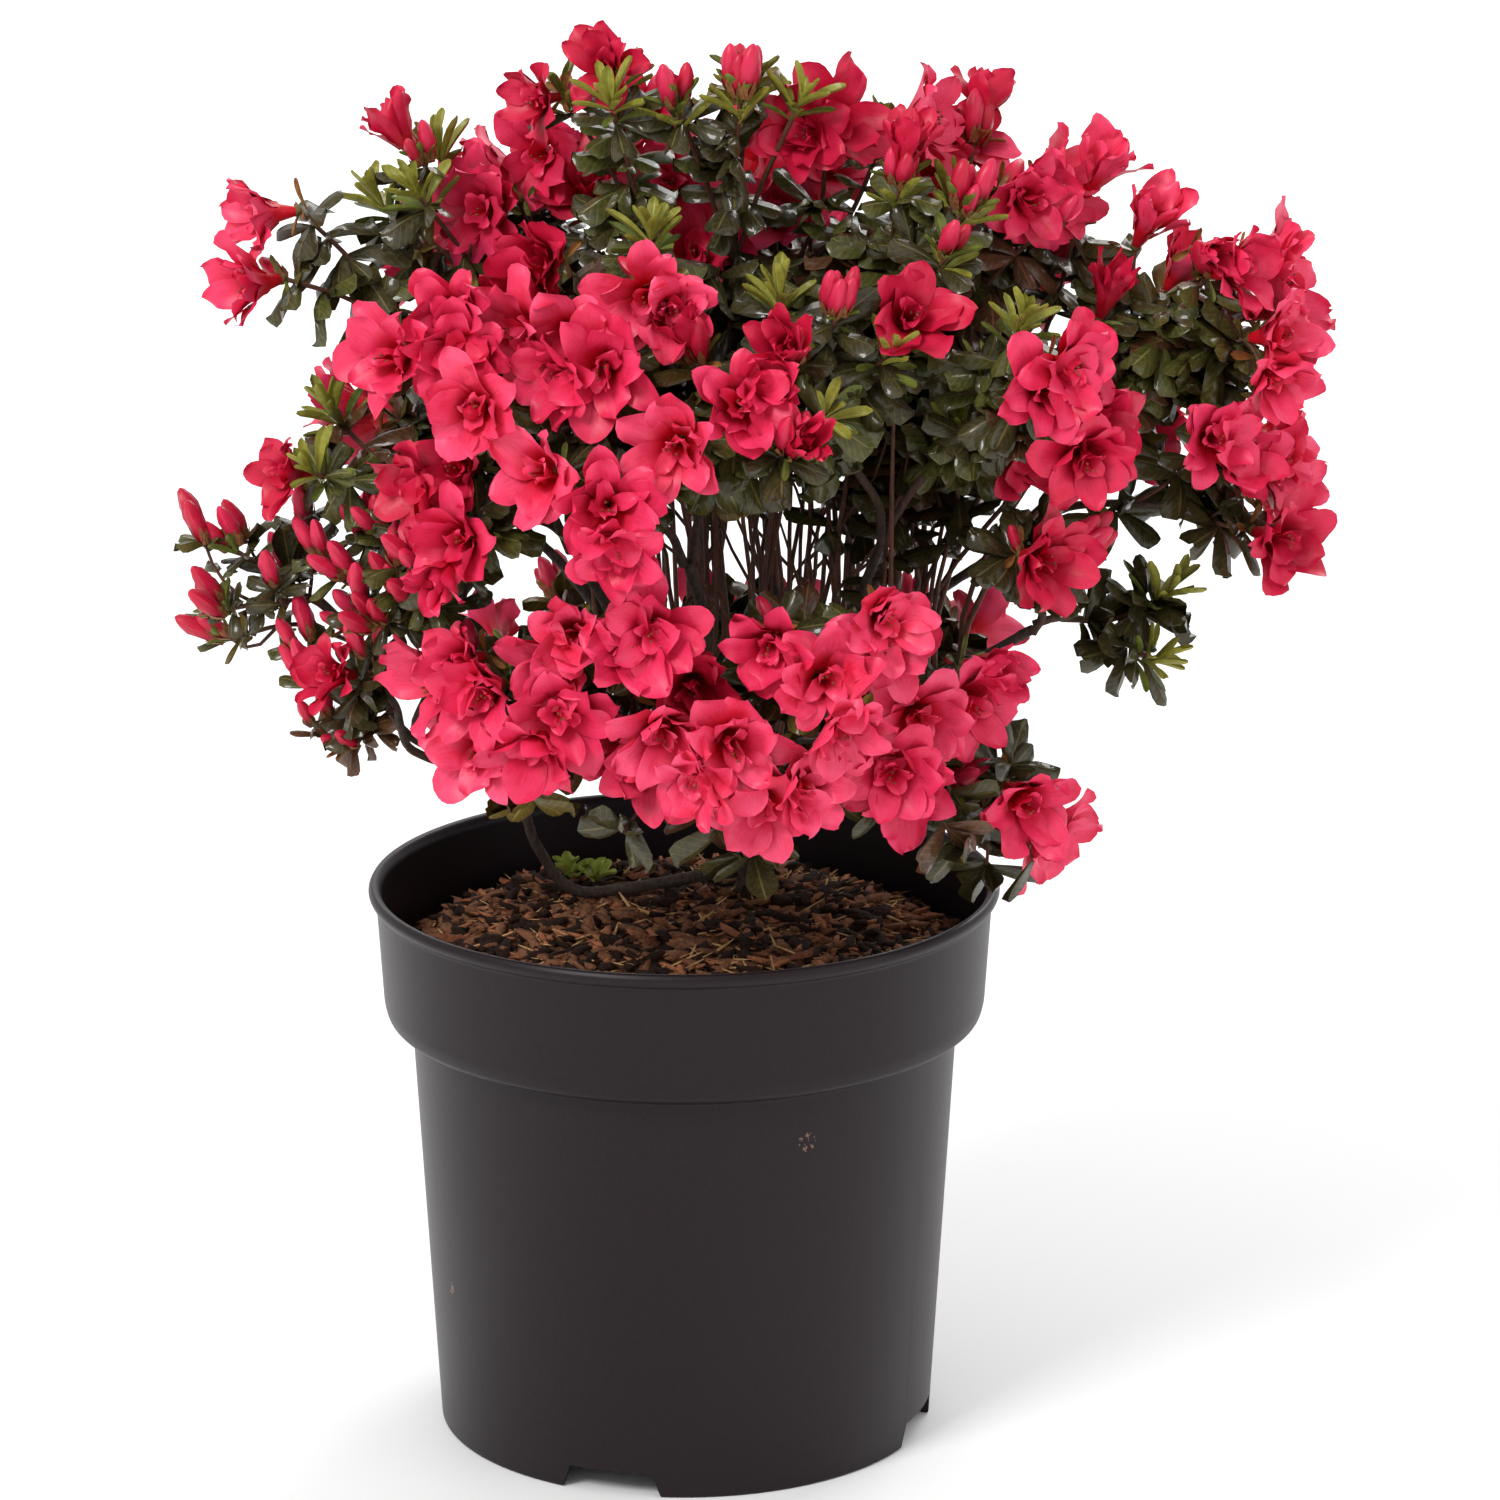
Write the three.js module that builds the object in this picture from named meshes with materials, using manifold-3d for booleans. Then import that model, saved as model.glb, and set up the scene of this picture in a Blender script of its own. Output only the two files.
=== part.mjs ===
// Potted azalea in bloom: a round nursery pot filled with potting mix, a short forked trunk,
// sixteen tapering boughs and forty masses of twigs, leaves, buds and double flowers.
// Millimetres, +Z up. The origin is the centre of the pot's flat underside.

import * as THREE from 'three';
import { mergeVertices } from 'three/addons/utils/BufferGeometryUtils.js';
import Module from 'manifold-3d';

const wasm = await Module();
wasm.setup();

// ---------------------------------------------------------------- driving dimensions

const gap = 0.3;                    // clearance between two solids that touch in the real plant

const potHeight = 205;
const rimRadius = 115;
const potBaseRadius = 90.4;
const potWall = 2.2;
const potFootRing = 2.6;            // thickness of the ring that the pot stands on
const potFootEase = 1.4;            // the wall's thickness where it meets the floor
const bandFootHeight = 154;         // lower edge of the wide band round the top of the pot
const bandFootRadius = 109.5;
const bandTopRadius = 112;
const underBandRadius = 99.5;
const potFloorHeight = 10;          // underside of the raised floor
const footPadRadius = 20;           // flat boss in the middle of the underside
const potSegments = 28;
const notchCount = 4;
const notchHeight = 9;
const notchWidth = 38;
const notchTopWidth = 31;
const firstNotchAngle = -107;       // degrees, from +X
const drainCount = 5;
const drainRadius = 4.5;
const drainRingRadius = 58;

const soilPlateauHeight = 192.5;
const soilPlateauRadius = 52;
const soilShoulderHeight = 180;
const soilShoulderRadius = 98;
const soilEdgeHeight = 170;

const trunkFoot = new THREE.Vector3(26, 28, soilPlateauHeight + gap);
const trunkFork = new THREE.Vector3(24, 23, 214);
const trunkFootRadius = 8.6;
const trunkRadius = 6.2;
const rootFlare = 0.16;             // how far the three root lobes swell at the foot
const armLength = 22;
const armRise = 56;                 // degrees above the level
const armRadius = 4.3;
const knuckleRadius = 5.6;
const arms = { frontLeft: 214, frontRight: 322, backLeft: 132, backRight: 42 };

const boughFootRadius = 2.3;
const boughTipRadius = 1.7;
const stemFootRadius = 1.6;
const stemTipRadius = 1.3;
const shootFootRadius = 0.9;
const shootTipRadius = 1.0;
const boughSides = 6;
const stemSides = 4;
const shootSides = 3;
const handleShare = 0.36;           // how far a limb keeps its first and last direction

const leafLength = 33;
const leafWidth = 15;
const leafThickness = 1.4;
const leafSizes = [1, 0.85, 0.7];

// The heads that shoots end in: how many tips they have, the reach and height of tip and notch
// from the middle of the head, and the height of the throat.
const heads = {
  flower: { tips: 5, tip: [22, 3], notch: [14.5, -1], throat: -3 },
  buds: { tips: 3, tip: [8, 15], notch: [5.5, 2], throat: 3.5 },
  flush: { tips: 4, tip: [16, 14], notch: [3, 1], throat: 2 },
};
const headNeck = 11;                // depth of a head behind its middle, where the shoot meets it
const headSizes = [1, 0.9, 0.8, 0.7];

const crownCentre = new THREE.Vector3(22, 5, 330);
const goldenAngle = Math.PI * (3 - Math.sqrt(5));
const up = new THREE.Vector3(0, 0, 1);

// ---------------------------------------------------------------- materials

const plastic = new THREE.MeshStandardMaterial({ color: 0x37383b, roughness: 0.45, metalness: 0 });
const pottingMix = new THREE.MeshStandardMaterial({ color: 0x4a3424, roughness: 1, metalness: 0 });
const bark = new THREE.MeshStandardMaterial({ color: 0x3b2e26, roughness: 0.9, metalness: 0 });
const bloom = new THREE.MeshStandardMaterial({ color: 0xe0315a, roughness: 0.55, metalness: 0 });
const greenery = new THREE.MeshStandardMaterial({ color: 0x2f3f2a, roughness: 0.4, metalness: 0 });

// ---------------------------------------------------------------- solids and meshes

// A closed three.js geometry as a solid that can be joined and cut.
function solidOf(geometry) {
  const bare = geometry.clone();
  for (const name of Object.keys(bare.attributes)) {
    if (name !== 'position') bare.deleteAttribute(name);
  }
  const merged = mergeVertices(bare, 1e-4);
  const corners = [];
  for (let i = 0; i < merged.index.count; i += 3) {
    const [a, b, c] = [merged.index.getX(i), merged.index.getX(i + 1), merged.index.getX(i + 2)];
    if (a !== b && b !== c && c !== a) corners.push(a, b, c);
  }
  const vertProperties = new Float32Array(merged.attributes.position.array);
  const triVerts = new Uint32Array(corners);
  return new wasm.Manifold(new wasm.Mesh({ numProp: 3, vertProperties, triVerts }));
}

function geometryOf(solid) {
  const mesh = solid.getMesh();
  const geometry = new THREE.BufferGeometry();
  geometry.setAttribute('position', new THREE.Float32BufferAttribute(mesh.vertProperties, 3));
  geometry.setIndex([...mesh.triVerts]);
  geometry.computeVertexNormals();
  return geometry;
}

// Joins in pairs, so that the operands stay of like size.
function joined(solids) {
  let row = solids;
  while (row.length > 1) {
    const next = [];
    for (let i = 0; i < row.length; i += 2) {
      next.push(i + 1 < row.length ? row[i].add(row[i + 1]) : row[i]);
    }
    row = next;
  }
  return row[0];
}

// The largest body of a solid: loose scraps are dropped, and sealed hollows are filled.
function largestBody(solid) {
  const bodies = solid.decompose();
  return bodies.reduce((best, body) => (body.volume() > best.volume() ? body : best));
}

const plant = new THREE.Group();

function addNode(name, solid, material) {
  const mesh = new THREE.Mesh(geometryOf(solid), material);
  mesh.name = name;
  plant.add(mesh);
}

// ---------------------------------------------------------------- seeded numbers

function seededNumbers(seed) {
  let state = seed >>> 0;
  return () => {
    state = (state + 0x6d2b79f5) >>> 0;
    let word = Math.imul(state ^ (state >>> 15), state | 1);
    word ^= word + Math.imul(word ^ (word >>> 7), word | 61);
    return ((word ^ (word >>> 14)) >>> 0) / 4294967296;
  };
}

// A number from -size to size.
function spreadOf(random, size) {
  return (random() * 2 - 1) * size;
}

// ---------------------------------------------------------------- limbs

// Two directions square to a third, the first of them level.
function sideways(direction) {
  const level = new THREE.Vector3().crossVectors(up, direction);
  if (level.length() < 1e-6) level.set(1, 0, 0);
  level.normalize();
  const rising = new THREE.Vector3().crossVectors(direction, level).normalize();
  return [level, rising];
}

// A limb's route: a smooth curve that leaves and arrives along given directions, swayed to one
// side, with small jogs.
function routeOf({ from, to, leave, arrive, steps, jog, sway, random }) {
  const reach = from.distanceTo(to);
  const aside = new THREE.Vector3(spreadOf(random, sway), spreadOf(random, sway), spreadOf(random, sway));
  const curve = new THREE.CubicBezierCurve3(
    from,
    from.clone().addScaledVector(leave, reach * handleShare).add(aside),
    to.clone().addScaledVector(arrive, -reach * handleShare).add(aside),
    to,
  );
  const points = curve.getPoints(steps);
  for (let i = 1; i < steps; i += 1) {
    points[i].x += spreadOf(random, jog);
    points[i].y += spreadOf(random, jog);
    points[i].z += spreadOf(random, jog * 0.5);
  }
  return { points, leave, arrive };
}

// The rings of a tube along a route, with the frame of its last ring.
function ringsAlong(route, radii, sides, lobes = 0) {
  const { points, leave, arrive } = route;
  const last = points.length - 1;
  const positions = [];
  let [across] = sideways(leave);
  let upright = null;
  for (let i = 0; i <= last; i += 1) {
    const tangent = new THREE.Vector3();
    if (i === 0) tangent.copy(leave);
    else if (i === last) tangent.copy(arrive);
    else tangent.subVectors(points[i + 1], points[i - 1]).normalize();
    across = across.clone().addScaledVector(tangent, -across.dot(tangent)).normalize();
    upright = new THREE.Vector3().crossVectors(tangent, across);
    for (let k = 0; k < sides; k += 1) {
      const angle = (k / sides) * 2 * Math.PI;
      const swell = i === 0 ? 1 + lobes * Math.cos(3 * angle) : 1;
      const corner = points[i].clone();
      corner.addScaledVector(across, Math.cos(angle) * radii[i] * swell);
      corner.addScaledVector(upright, Math.sin(angle) * radii[i] * swell);
      positions.push(corner.x, corner.y, corner.z);
    }
  }
  const index = [];
  for (let i = 0; i < last; i += 1) {
    for (let k = 0; k < sides; k += 1) {
      const a = i * sides + k;
      const b = i * sides + ((k + 1) % sides);
      index.push(a, b, b + sides, a, b + sides, a + sides);
    }
  }
  for (let k = 1; k < sides - 1; k += 1) index.push(0, k + 1, k);
  return { positions, index, across, upright, lastRing: last * sides };
}

function indexedSolid(positions, index) {
  const geometry = new THREE.BufferGeometry();
  geometry.setAttribute('position', new THREE.Float32BufferAttribute(positions, 3));
  geometry.setIndex(index);
  return solidOf(geometry);
}

// A closed tube along a route, with a radius for each of its points.
function tubeAlong(route, radii, sides, lobes = 0) {
  const { positions, index, lastRing } = ringsAlong(route, radii, sides, lobes);
  for (let k = 1; k < sides - 1; k += 1) index.push(lastRing, lastRing + k, lastRing + k + 1);
  return indexedSolid(positions, index);
}

function taper(first, last, steps) {
  return Array.from({ length: steps + 1 }, (_, i) => first + ((last - first) * i) / steps);
}

const limbs = [];                   // every limb placed so far: its node, route and thickest radius

// Least distance between two straight stretches.
function stretchDistance(a, b, c, d) {
  const ab = new THREE.Vector3().subVectors(b, a);
  const cd = new THREE.Vector3().subVectors(d, c);
  const ca = new THREE.Vector3().subVectors(a, c);
  const abab = ab.dot(ab);
  const abcd = ab.dot(cd);
  const cdcd = cd.dot(cd);
  const spread = abab * cdcd - abcd * abcd;
  let s = 0;
  if (spread > 1e-9) s = THREE.MathUtils.clamp((abcd * cd.dot(ca) - cdcd * ab.dot(ca)) / spread, 0, 1);
  const t = THREE.MathUtils.clamp((abcd * s + cd.dot(ca)) / cdcd, 0, 1);
  s = THREE.MathUtils.clamp((abcd * t - ab.dot(ca)) / abab, 0, 1);
  return a.clone().addScaledVector(ab, s).distanceTo(c.clone().addScaledVector(cd, t));
}

// Whether a route stays clear of every limb placed so far. Its own node is left out, and so is its
// first stretch where it stands on its carrier.
function routeIsClear(points, radius, own, carrier) {
  return limbs.every((limb) => {
    if (limb.node === own) return true;
    const least = radius + limb.radius + gap;
    for (let i = limb.node === carrier ? 1 : 0; i + 1 < points.length; i += 1) {
      for (let k = 0; k + 1 < limb.points.length; k += 1) {
        const apart = stretchDistance(points[i], points[i + 1], limb.points[k], limb.points[k + 1]);
        if (apart < least) return false;
      }
    }
    return true;
  });
}

// Feet of several limbs side by side on the cut end of the limb that carries them.
function feetOn(end, direction, count, radius) {
  if (count === 1) return [end.clone().addScaledVector(direction, gap)];
  const [level, rising] = sideways(direction);
  const ring = ((radius + gap / 2) * 1.06) / Math.sin(Math.PI / count);
  return Array.from({ length: count }, (_, i) => {
    const angle = ((i + 0.25) / count) * 2 * Math.PI;
    const foot = end.clone().addScaledVector(direction, gap);
    foot.addScaledVector(level, Math.cos(angle) * ring);
    return foot.addScaledVector(rising, Math.sin(angle) * ring);
  });
}

// Gives each target the nearest free foot, in the order of the targets.
function shareFeet(feet, targets) {
  const free = [...feet];
  return targets.map((target) => {
    free.sort((a, b) => a.distanceTo(target) - b.distanceTo(target));
    return free.shift();
  });
}

// ---------------------------------------------------------------- pot

function potProfile() {
  const innerBase = potBaseRadius - potFootRing;
  const floorTop = potFloorHeight + potWall;
  const outline = [
    [0, 0], [footPadRadius, 0], [footPadRadius + 3, potFloorHeight],
    [innerBase, potFloorHeight], [innerBase, 0], [potBaseRadius, 0],
    [underBandRadius, bandFootHeight - 1],
    [underBandRadius + 5, bandFootHeight], [bandFootRadius - 1.2, bandFootHeight + 2.4],
    [bandFootRadius, bandFootHeight + 7], [bandTopRadius, potHeight - 6],
    [rimRadius - 1, potHeight - 4.6], [rimRadius, potHeight - 2.4], [rimRadius - 1.4, potHeight],
    [bandTopRadius - 0.6, potHeight - 0.4], [bandTopRadius - potWall, potHeight - 3],
    [bandFootRadius - potWall, bandFootHeight + 8], [underBandRadius + 3, bandFootHeight + 2.4],
    [underBandRadius - potWall, bandFootHeight + 1],
    [potBaseRadius - potFootEase, floorTop], [0, floorTop],
  ];
  return outline.map(([radius, height]) => new THREE.Vector2(radius, height));
}

function potNotch(angle) {
  const outline = new THREE.Shape();
  outline.moveTo(-notchWidth / 2, -1);
  outline.lineTo(notchWidth / 2, -1);
  outline.lineTo(notchTopWidth / 2, notchHeight);
  outline.lineTo(-notchTopWidth / 2, notchHeight);
  outline.closePath();
  const cutter = new THREE.ExtrudeGeometry(outline, { depth: 24, bevelEnabled: false });
  cutter.rotateX(Math.PI / 2);
  cutter.translate(0, potBaseRadius + 8, 0);
  cutter.rotateZ(angle - Math.PI / 2);
  return solidOf(cutter);
}

function potSolid() {
  const shell = new THREE.LatheGeometry(potProfile(), potSegments);
  shell.rotateX(Math.PI / 2);
  let pot = solidOf(shell);
  for (let i = 0; i < notchCount; i += 1) {
    const angle = THREE.MathUtils.degToRad(firstNotchAngle) + (i / notchCount) * 2 * Math.PI;
    pot = pot.subtract(potNotch(angle));
  }
  for (let i = 0; i < drainCount; i += 1) {
    const angle = (i / drainCount) * 2 * Math.PI;
    const drill = new THREE.CylinderGeometry(drainRadius, drainRadius, 12, 6);
    drill.rotateX(Math.PI / 2);
    drill.translate(Math.cos(angle) * drainRingRadius, Math.sin(angle) * drainRingRadius, potFloorHeight);
    pot = pot.subtract(solidOf(drill));
  }
  return largestBody(pot);
}

// ---------------------------------------------------------------- potting mix

function soilSolid() {
  const inner = underBandRadius - potWall - gap;
  const profile = [
    [0, potFloorHeight + potWall + gap],
    [potBaseRadius - potFootEase - gap, potFloorHeight + potWall + gap],
    [inner, bandFootHeight + 1],
    [underBandRadius + 3 - gap, bandFootHeight + 2.4 + gap],
    [bandFootRadius - potWall - gap, bandFootHeight + 8],
    [bandFootRadius - potWall - gap, soilEdgeHeight],
    [soilShoulderRadius, soilShoulderHeight],
    [(soilShoulderRadius + soilPlateauRadius) / 2, soilShoulderHeight + 8],
    [soilPlateauRadius, soilPlateauHeight],
    [0, soilPlateauHeight],
  ];
  const heap = new THREE.LatheGeometry(profile.map(([r, z]) => new THREE.Vector2(r, z)), potSegments);
  heap.rotateX(Math.PI / 2);
  return solidOf(heap);
}

// ---------------------------------------------------------------- trunk

// The direction of an arm of the fork.
function armDirection(degrees) {
  const turn = THREE.MathUtils.degToRad(degrees);
  const rise = THREE.MathUtils.degToRad(armRise);
  return new THREE.Vector3(Math.cos(turn) * Math.cos(rise), Math.sin(turn) * Math.cos(rise), Math.sin(rise));
}

const trunkRandom = seededNumbers(11);
const knuckles = {};

function trunkSolid() {
  const height = trunkFork.z - trunkFoot.z;
  const levels = [0, 0.14, 0.36, 0.68, 1.1];
  const column = {
    points: levels.map((level) => new THREE.Vector3(
      THREE.MathUtils.lerp(trunkFoot.x, trunkFork.x, level),
      THREE.MathUtils.lerp(trunkFoot.y, trunkFork.y, level),
      trunkFoot.z + height * level,
    )),
    leave: up,
    arrive: up,
  };
  const taperShares = [1.16, 1, 0.98, 0.9];
  const columnRadii = [trunkFootRadius, ...taperShares.map((share) => trunkRadius * share)];
  const parts = [tubeAlong(column, columnRadii, 8, rootFlare)];
  limbs.push({ node: 'trunk', points: column.points, radius: trunkFootRadius * (1 + rootFlare) });
  for (const [name, degrees] of Object.entries(arms)) {
    const arrive = armDirection(degrees);
    const end = trunkFork.clone().addScaledVector(arrive, armLength);
    const steps = 4;
    const route = routeOf({
      from: trunkFork, to: end, leave: arrive, arrive, steps, jog: 0.5, sway: 0, random: trunkRandom,
    });
    const radii = [armRadius, armRadius, armRadius * 0.94, knuckleRadius * 0.9, knuckleRadius];
    parts.push(tubeAlong(route, radii, 7));
    limbs.push({ node: `arm_${name}`, points: route.points, radius: knuckleRadius });
    knuckles[name] = { end, direction: arrive };
  }
  return largestBody(joined(parts));
}

// ---------------------------------------------------------------- boughs

// Each bough: the arm that carries it, its tip (side, depth, height), and how it arrives there
// as a lean from the upright, 0 for straight up and 1 for straight out from the trunk.
const boughs = {
  left_low: { arm: 'frontLeft', tip: [-88, -22, 258], lean: 0.75 },
  left_high: { arm: 'frontLeft', tip: [-62, -14, 345], lean: 0.5 },
  left_front: { arm: 'frontLeft', tip: [-38, -52, 342], lean: 0.4 },
  front: { arm: 'frontLeft', tip: [2, -58, 338], lean: 0.3 },
  right_front: { arm: 'frontRight', tip: [70, -52, 345], lean: 0.35 },
  front_low: { arm: 'frontRight', tip: [12, -66, 262], lean: 0.6 },
  front_right_low: { arm: 'frontRight', tip: [72, -48, 250], lean: 0.7 },
  right_arch: { arm: 'frontRight', tip: [124, -34, 308], lean: 0.6 },
  left_back: { arm: 'backLeft', tip: [-38, 52, 342], lean: 0.35 },
  centre: { arm: 'backLeft', tip: [6, 2, 368], lean: 0.05 },
  back_low: { arm: 'backLeft', tip: [8, 96, 258], lean: 0.7 },
  back: { arm: 'backRight', tip: [30, 62, 344], lean: 0.3 },
  right: { arm: 'backRight', tip: [80, -2, 352], lean: 0.3 },
  right_high: { arm: 'backRight', tip: [126, 6, 338], lean: 0.55 },
  right_back: { arm: 'backRight', tip: [88, 66, 330], lean: 0.5 },
};

const limbSolids = {};
const boughEnds = {};

function growBough(name, bough, foot, random) {
  const knuckle = knuckles[bough.arm];
  const tip = new THREE.Vector3(...bough.tip);
  const outward = new THREE.Vector3(tip.x - trunkFork.x, tip.y - trunkFork.y, 0).normalize();
  const arrive = up.clone().lerp(outward, bough.lean).normalize();
  const steps = 6;
  let route = null;
  for (let attempt = 0; attempt < 20; attempt += 1) {
    route = routeOf({
      from: foot, to: tip, leave: knuckle.direction, arrive, steps, jog: 1.2, sway: attempt * 1.5, random,
    });
    if (routeIsClear(route.points, boughFootRadius, '', `arm_${bough.arm}`)) break;
  }
  limbSolids[`bough_${name}`] = tubeAlong(route, taper(boughFootRadius, boughTipRadius, steps), boughSides);
  limbs.push({ node: `bough_${name}`, points: route.points, radius: boughFootRadius });
  boughEnds[name] = { end: route.points[steps], direction: arrive };
}

// The low bough that leaves the foot of the trunk, lies along the potting mix and turns up.
function growLowBough() {
  const random = seededNumbers(17);
  const lying = soilPlateauHeight + boughFootRadius + 0.6;
  const foot = new THREE.Vector3(trunkFoot.x - trunkRadius - 1.3, trunkFoot.y - 1.5, lying + 4);
  const rest = new THREE.Vector3(-33, 14, lying);
  const tip = new THREE.Vector3(-60, -4, lying + 42);
  const level = new THREE.Vector3(rest.x - foot.x, rest.y - foot.y, 0).normalize();
  const arrive = new THREE.Vector3(-0.35, -0.4, 0.85).normalize();
  const lower = routeOf({
    from: foot, to: rest, leave: level, arrive: level, steps: 4, jog: 0.4, sway: 0, random,
  });
  const upper = routeOf({ from: rest, to: tip, leave: level, arrive, steps: 6, jog: 0.8, sway: 0, random });
  const points = [...lower.points, ...upper.points.slice(1)];
  const radii = taper(boughFootRadius, boughTipRadius, points.length - 1);
  limbSolids.bough_low_side = tubeAlong({ points, leave: level, arrive }, radii, boughSides);
  limbs.push({ node: 'bough_low_side', points, radius: boughFootRadius });
  boughEnds.low_side = { end: tip, direction: arrive };
}

function growBoughs() {
  growLowBough();
  const random = seededNumbers(23);
  for (const [arm, knuckle] of Object.entries(knuckles)) {
    const names = Object.keys(boughs).filter((name) => boughs[name].arm === arm);
    const feet = feetOn(knuckle.end, knuckle.direction, names.length, boughFootRadius);
    const targets = names.map((name) => new THREE.Vector3(...boughs[name].tip));
    const shared = shareFeet(feet, targets);
    names.forEach((name, i) => growBough(name, boughs[name], shared[i], random));
  }
}

// ---------------------------------------------------------------- leaf and head

// Turns a place in a frame (across, upright, facing) at a point into a place in the plant's frame.
function inFrame(point, across, upright, facing, [x, y, z]) {
  const place = point.clone().addScaledVector(across, x).addScaledVector(upright, y);
  return place.addScaledVector(facing, z);
}

// A leaf is an eight-faced blade along a direction, widest at its middle. Grown by a margin, it
// stands for the room that it needs.
function leafSolid(place, direction, roll, length, width, grow) {
  const [level, rising] = sideways(direction);
  const across = level.clone().multiplyScalar(Math.cos(roll)).addScaledVector(rising, Math.sin(roll));
  const upright = new THREE.Vector3().crossVectors(direction, across);
  const half = leafThickness / 2 + grow;
  const side = width / 2 + grow;
  const middle = length / 2;
  const corners = [
    [0, half, middle], [0, -half, middle],
    [0, 0, -grow], [side, 0, middle], [0, 0, length + grow], [-side, 0, middle],
  ];
  const positions = corners.flatMap((corner) => inFrame(place, across, upright, direction, corner).toArray());
  const index = [];
  for (let i = 0; i < 4; i += 1) {
    const here = 2 + i;
    const next = 2 + ((i + 1) % 4);
    index.push(0, next, here, 1, here, next);
  }
  return indexedSolid(positions, index);
}

// The rim of a head at a size, as [angle, reach, height] for its tips and the notches between them.
function rimOf(kind, size) {
  const { tips, tip, notch } = heads[kind];
  return Array.from({ length: tips * 2 }, (_, i) => {
    const [reach, height] = i % 2 === 0 ? tip : notch;
    return [(i / (tips * 2)) * 2 * Math.PI, reach * size, height * size];
  });
}

// The room that a head needs, as a funnel with its mouth along a direction.
function headRoom(head, size, across, upright) {
  const { throat } = heads[head.kind];
  const rim = rimOf(head.kind, size);
  const corners = [[0, 0, throat * size + gap], [0, 0, -headNeck - gap]];
  for (const [angle, reach, height] of rim) {
    corners.push([Math.cos(angle) * (reach + gap), Math.sin(angle) * (reach + gap), height + gap]);
  }
  const turned = (corner) => inFrame(head.tip, across, upright, head.facing, corner).toArray();
  const index = [];
  for (let i = 0; i < rim.length; i += 1) {
    const here = 2 + i;
    const next = 2 + ((i + 1) % rim.length);
    index.push(0, here, next, 1, next, here);
  }
  return indexedSolid(corners.flatMap(turned), index);
}

// A shoot that opens into its head: the last ring of its tube widens to the head's rim, and the
// rim closes to the throat.
function openingShoot(shoot, size) {
  const { positions, index, across, upright, lastRing } = shoot.tube;
  const firstRim = positions.length / 3;
  const rim = rimOf(shoot.kind, size);
  const corners = rim.map(([angle, reach, height]) => (
    [Math.cos(angle) * reach, Math.sin(angle) * reach, height]
  ));
  corners.push([0, 0, heads[shoot.kind].throat * size]);
  const turned = (corner) => inFrame(shoot.tip, across, upright, shoot.facing, corner).toArray();
  const throat = firstRim + rim.length;
  const nearest = (i) => Math.round(((i + 0.5) / rim.length) * shootSides) % shootSides;
  const faces = [];
  for (let i = 0; i < rim.length; i += 1) {
    const next = (i + 1) % rim.length;
    faces.push(lastRing + nearest(i), firstRim + next, firstRim + i);
    faces.push(throat, firstRim + i, firstRim + next);
    if (nearest(i) !== nearest(next)) {
      faces.push(lastRing + nearest(i), lastRing + nearest(next), firstRim + next);
    }
  }
  return indexedSolid([...positions, ...corners.flatMap(turned)], [...index, ...faces]);
}

// ---------------------------------------------------------------- masses of foliage and bloom

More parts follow.
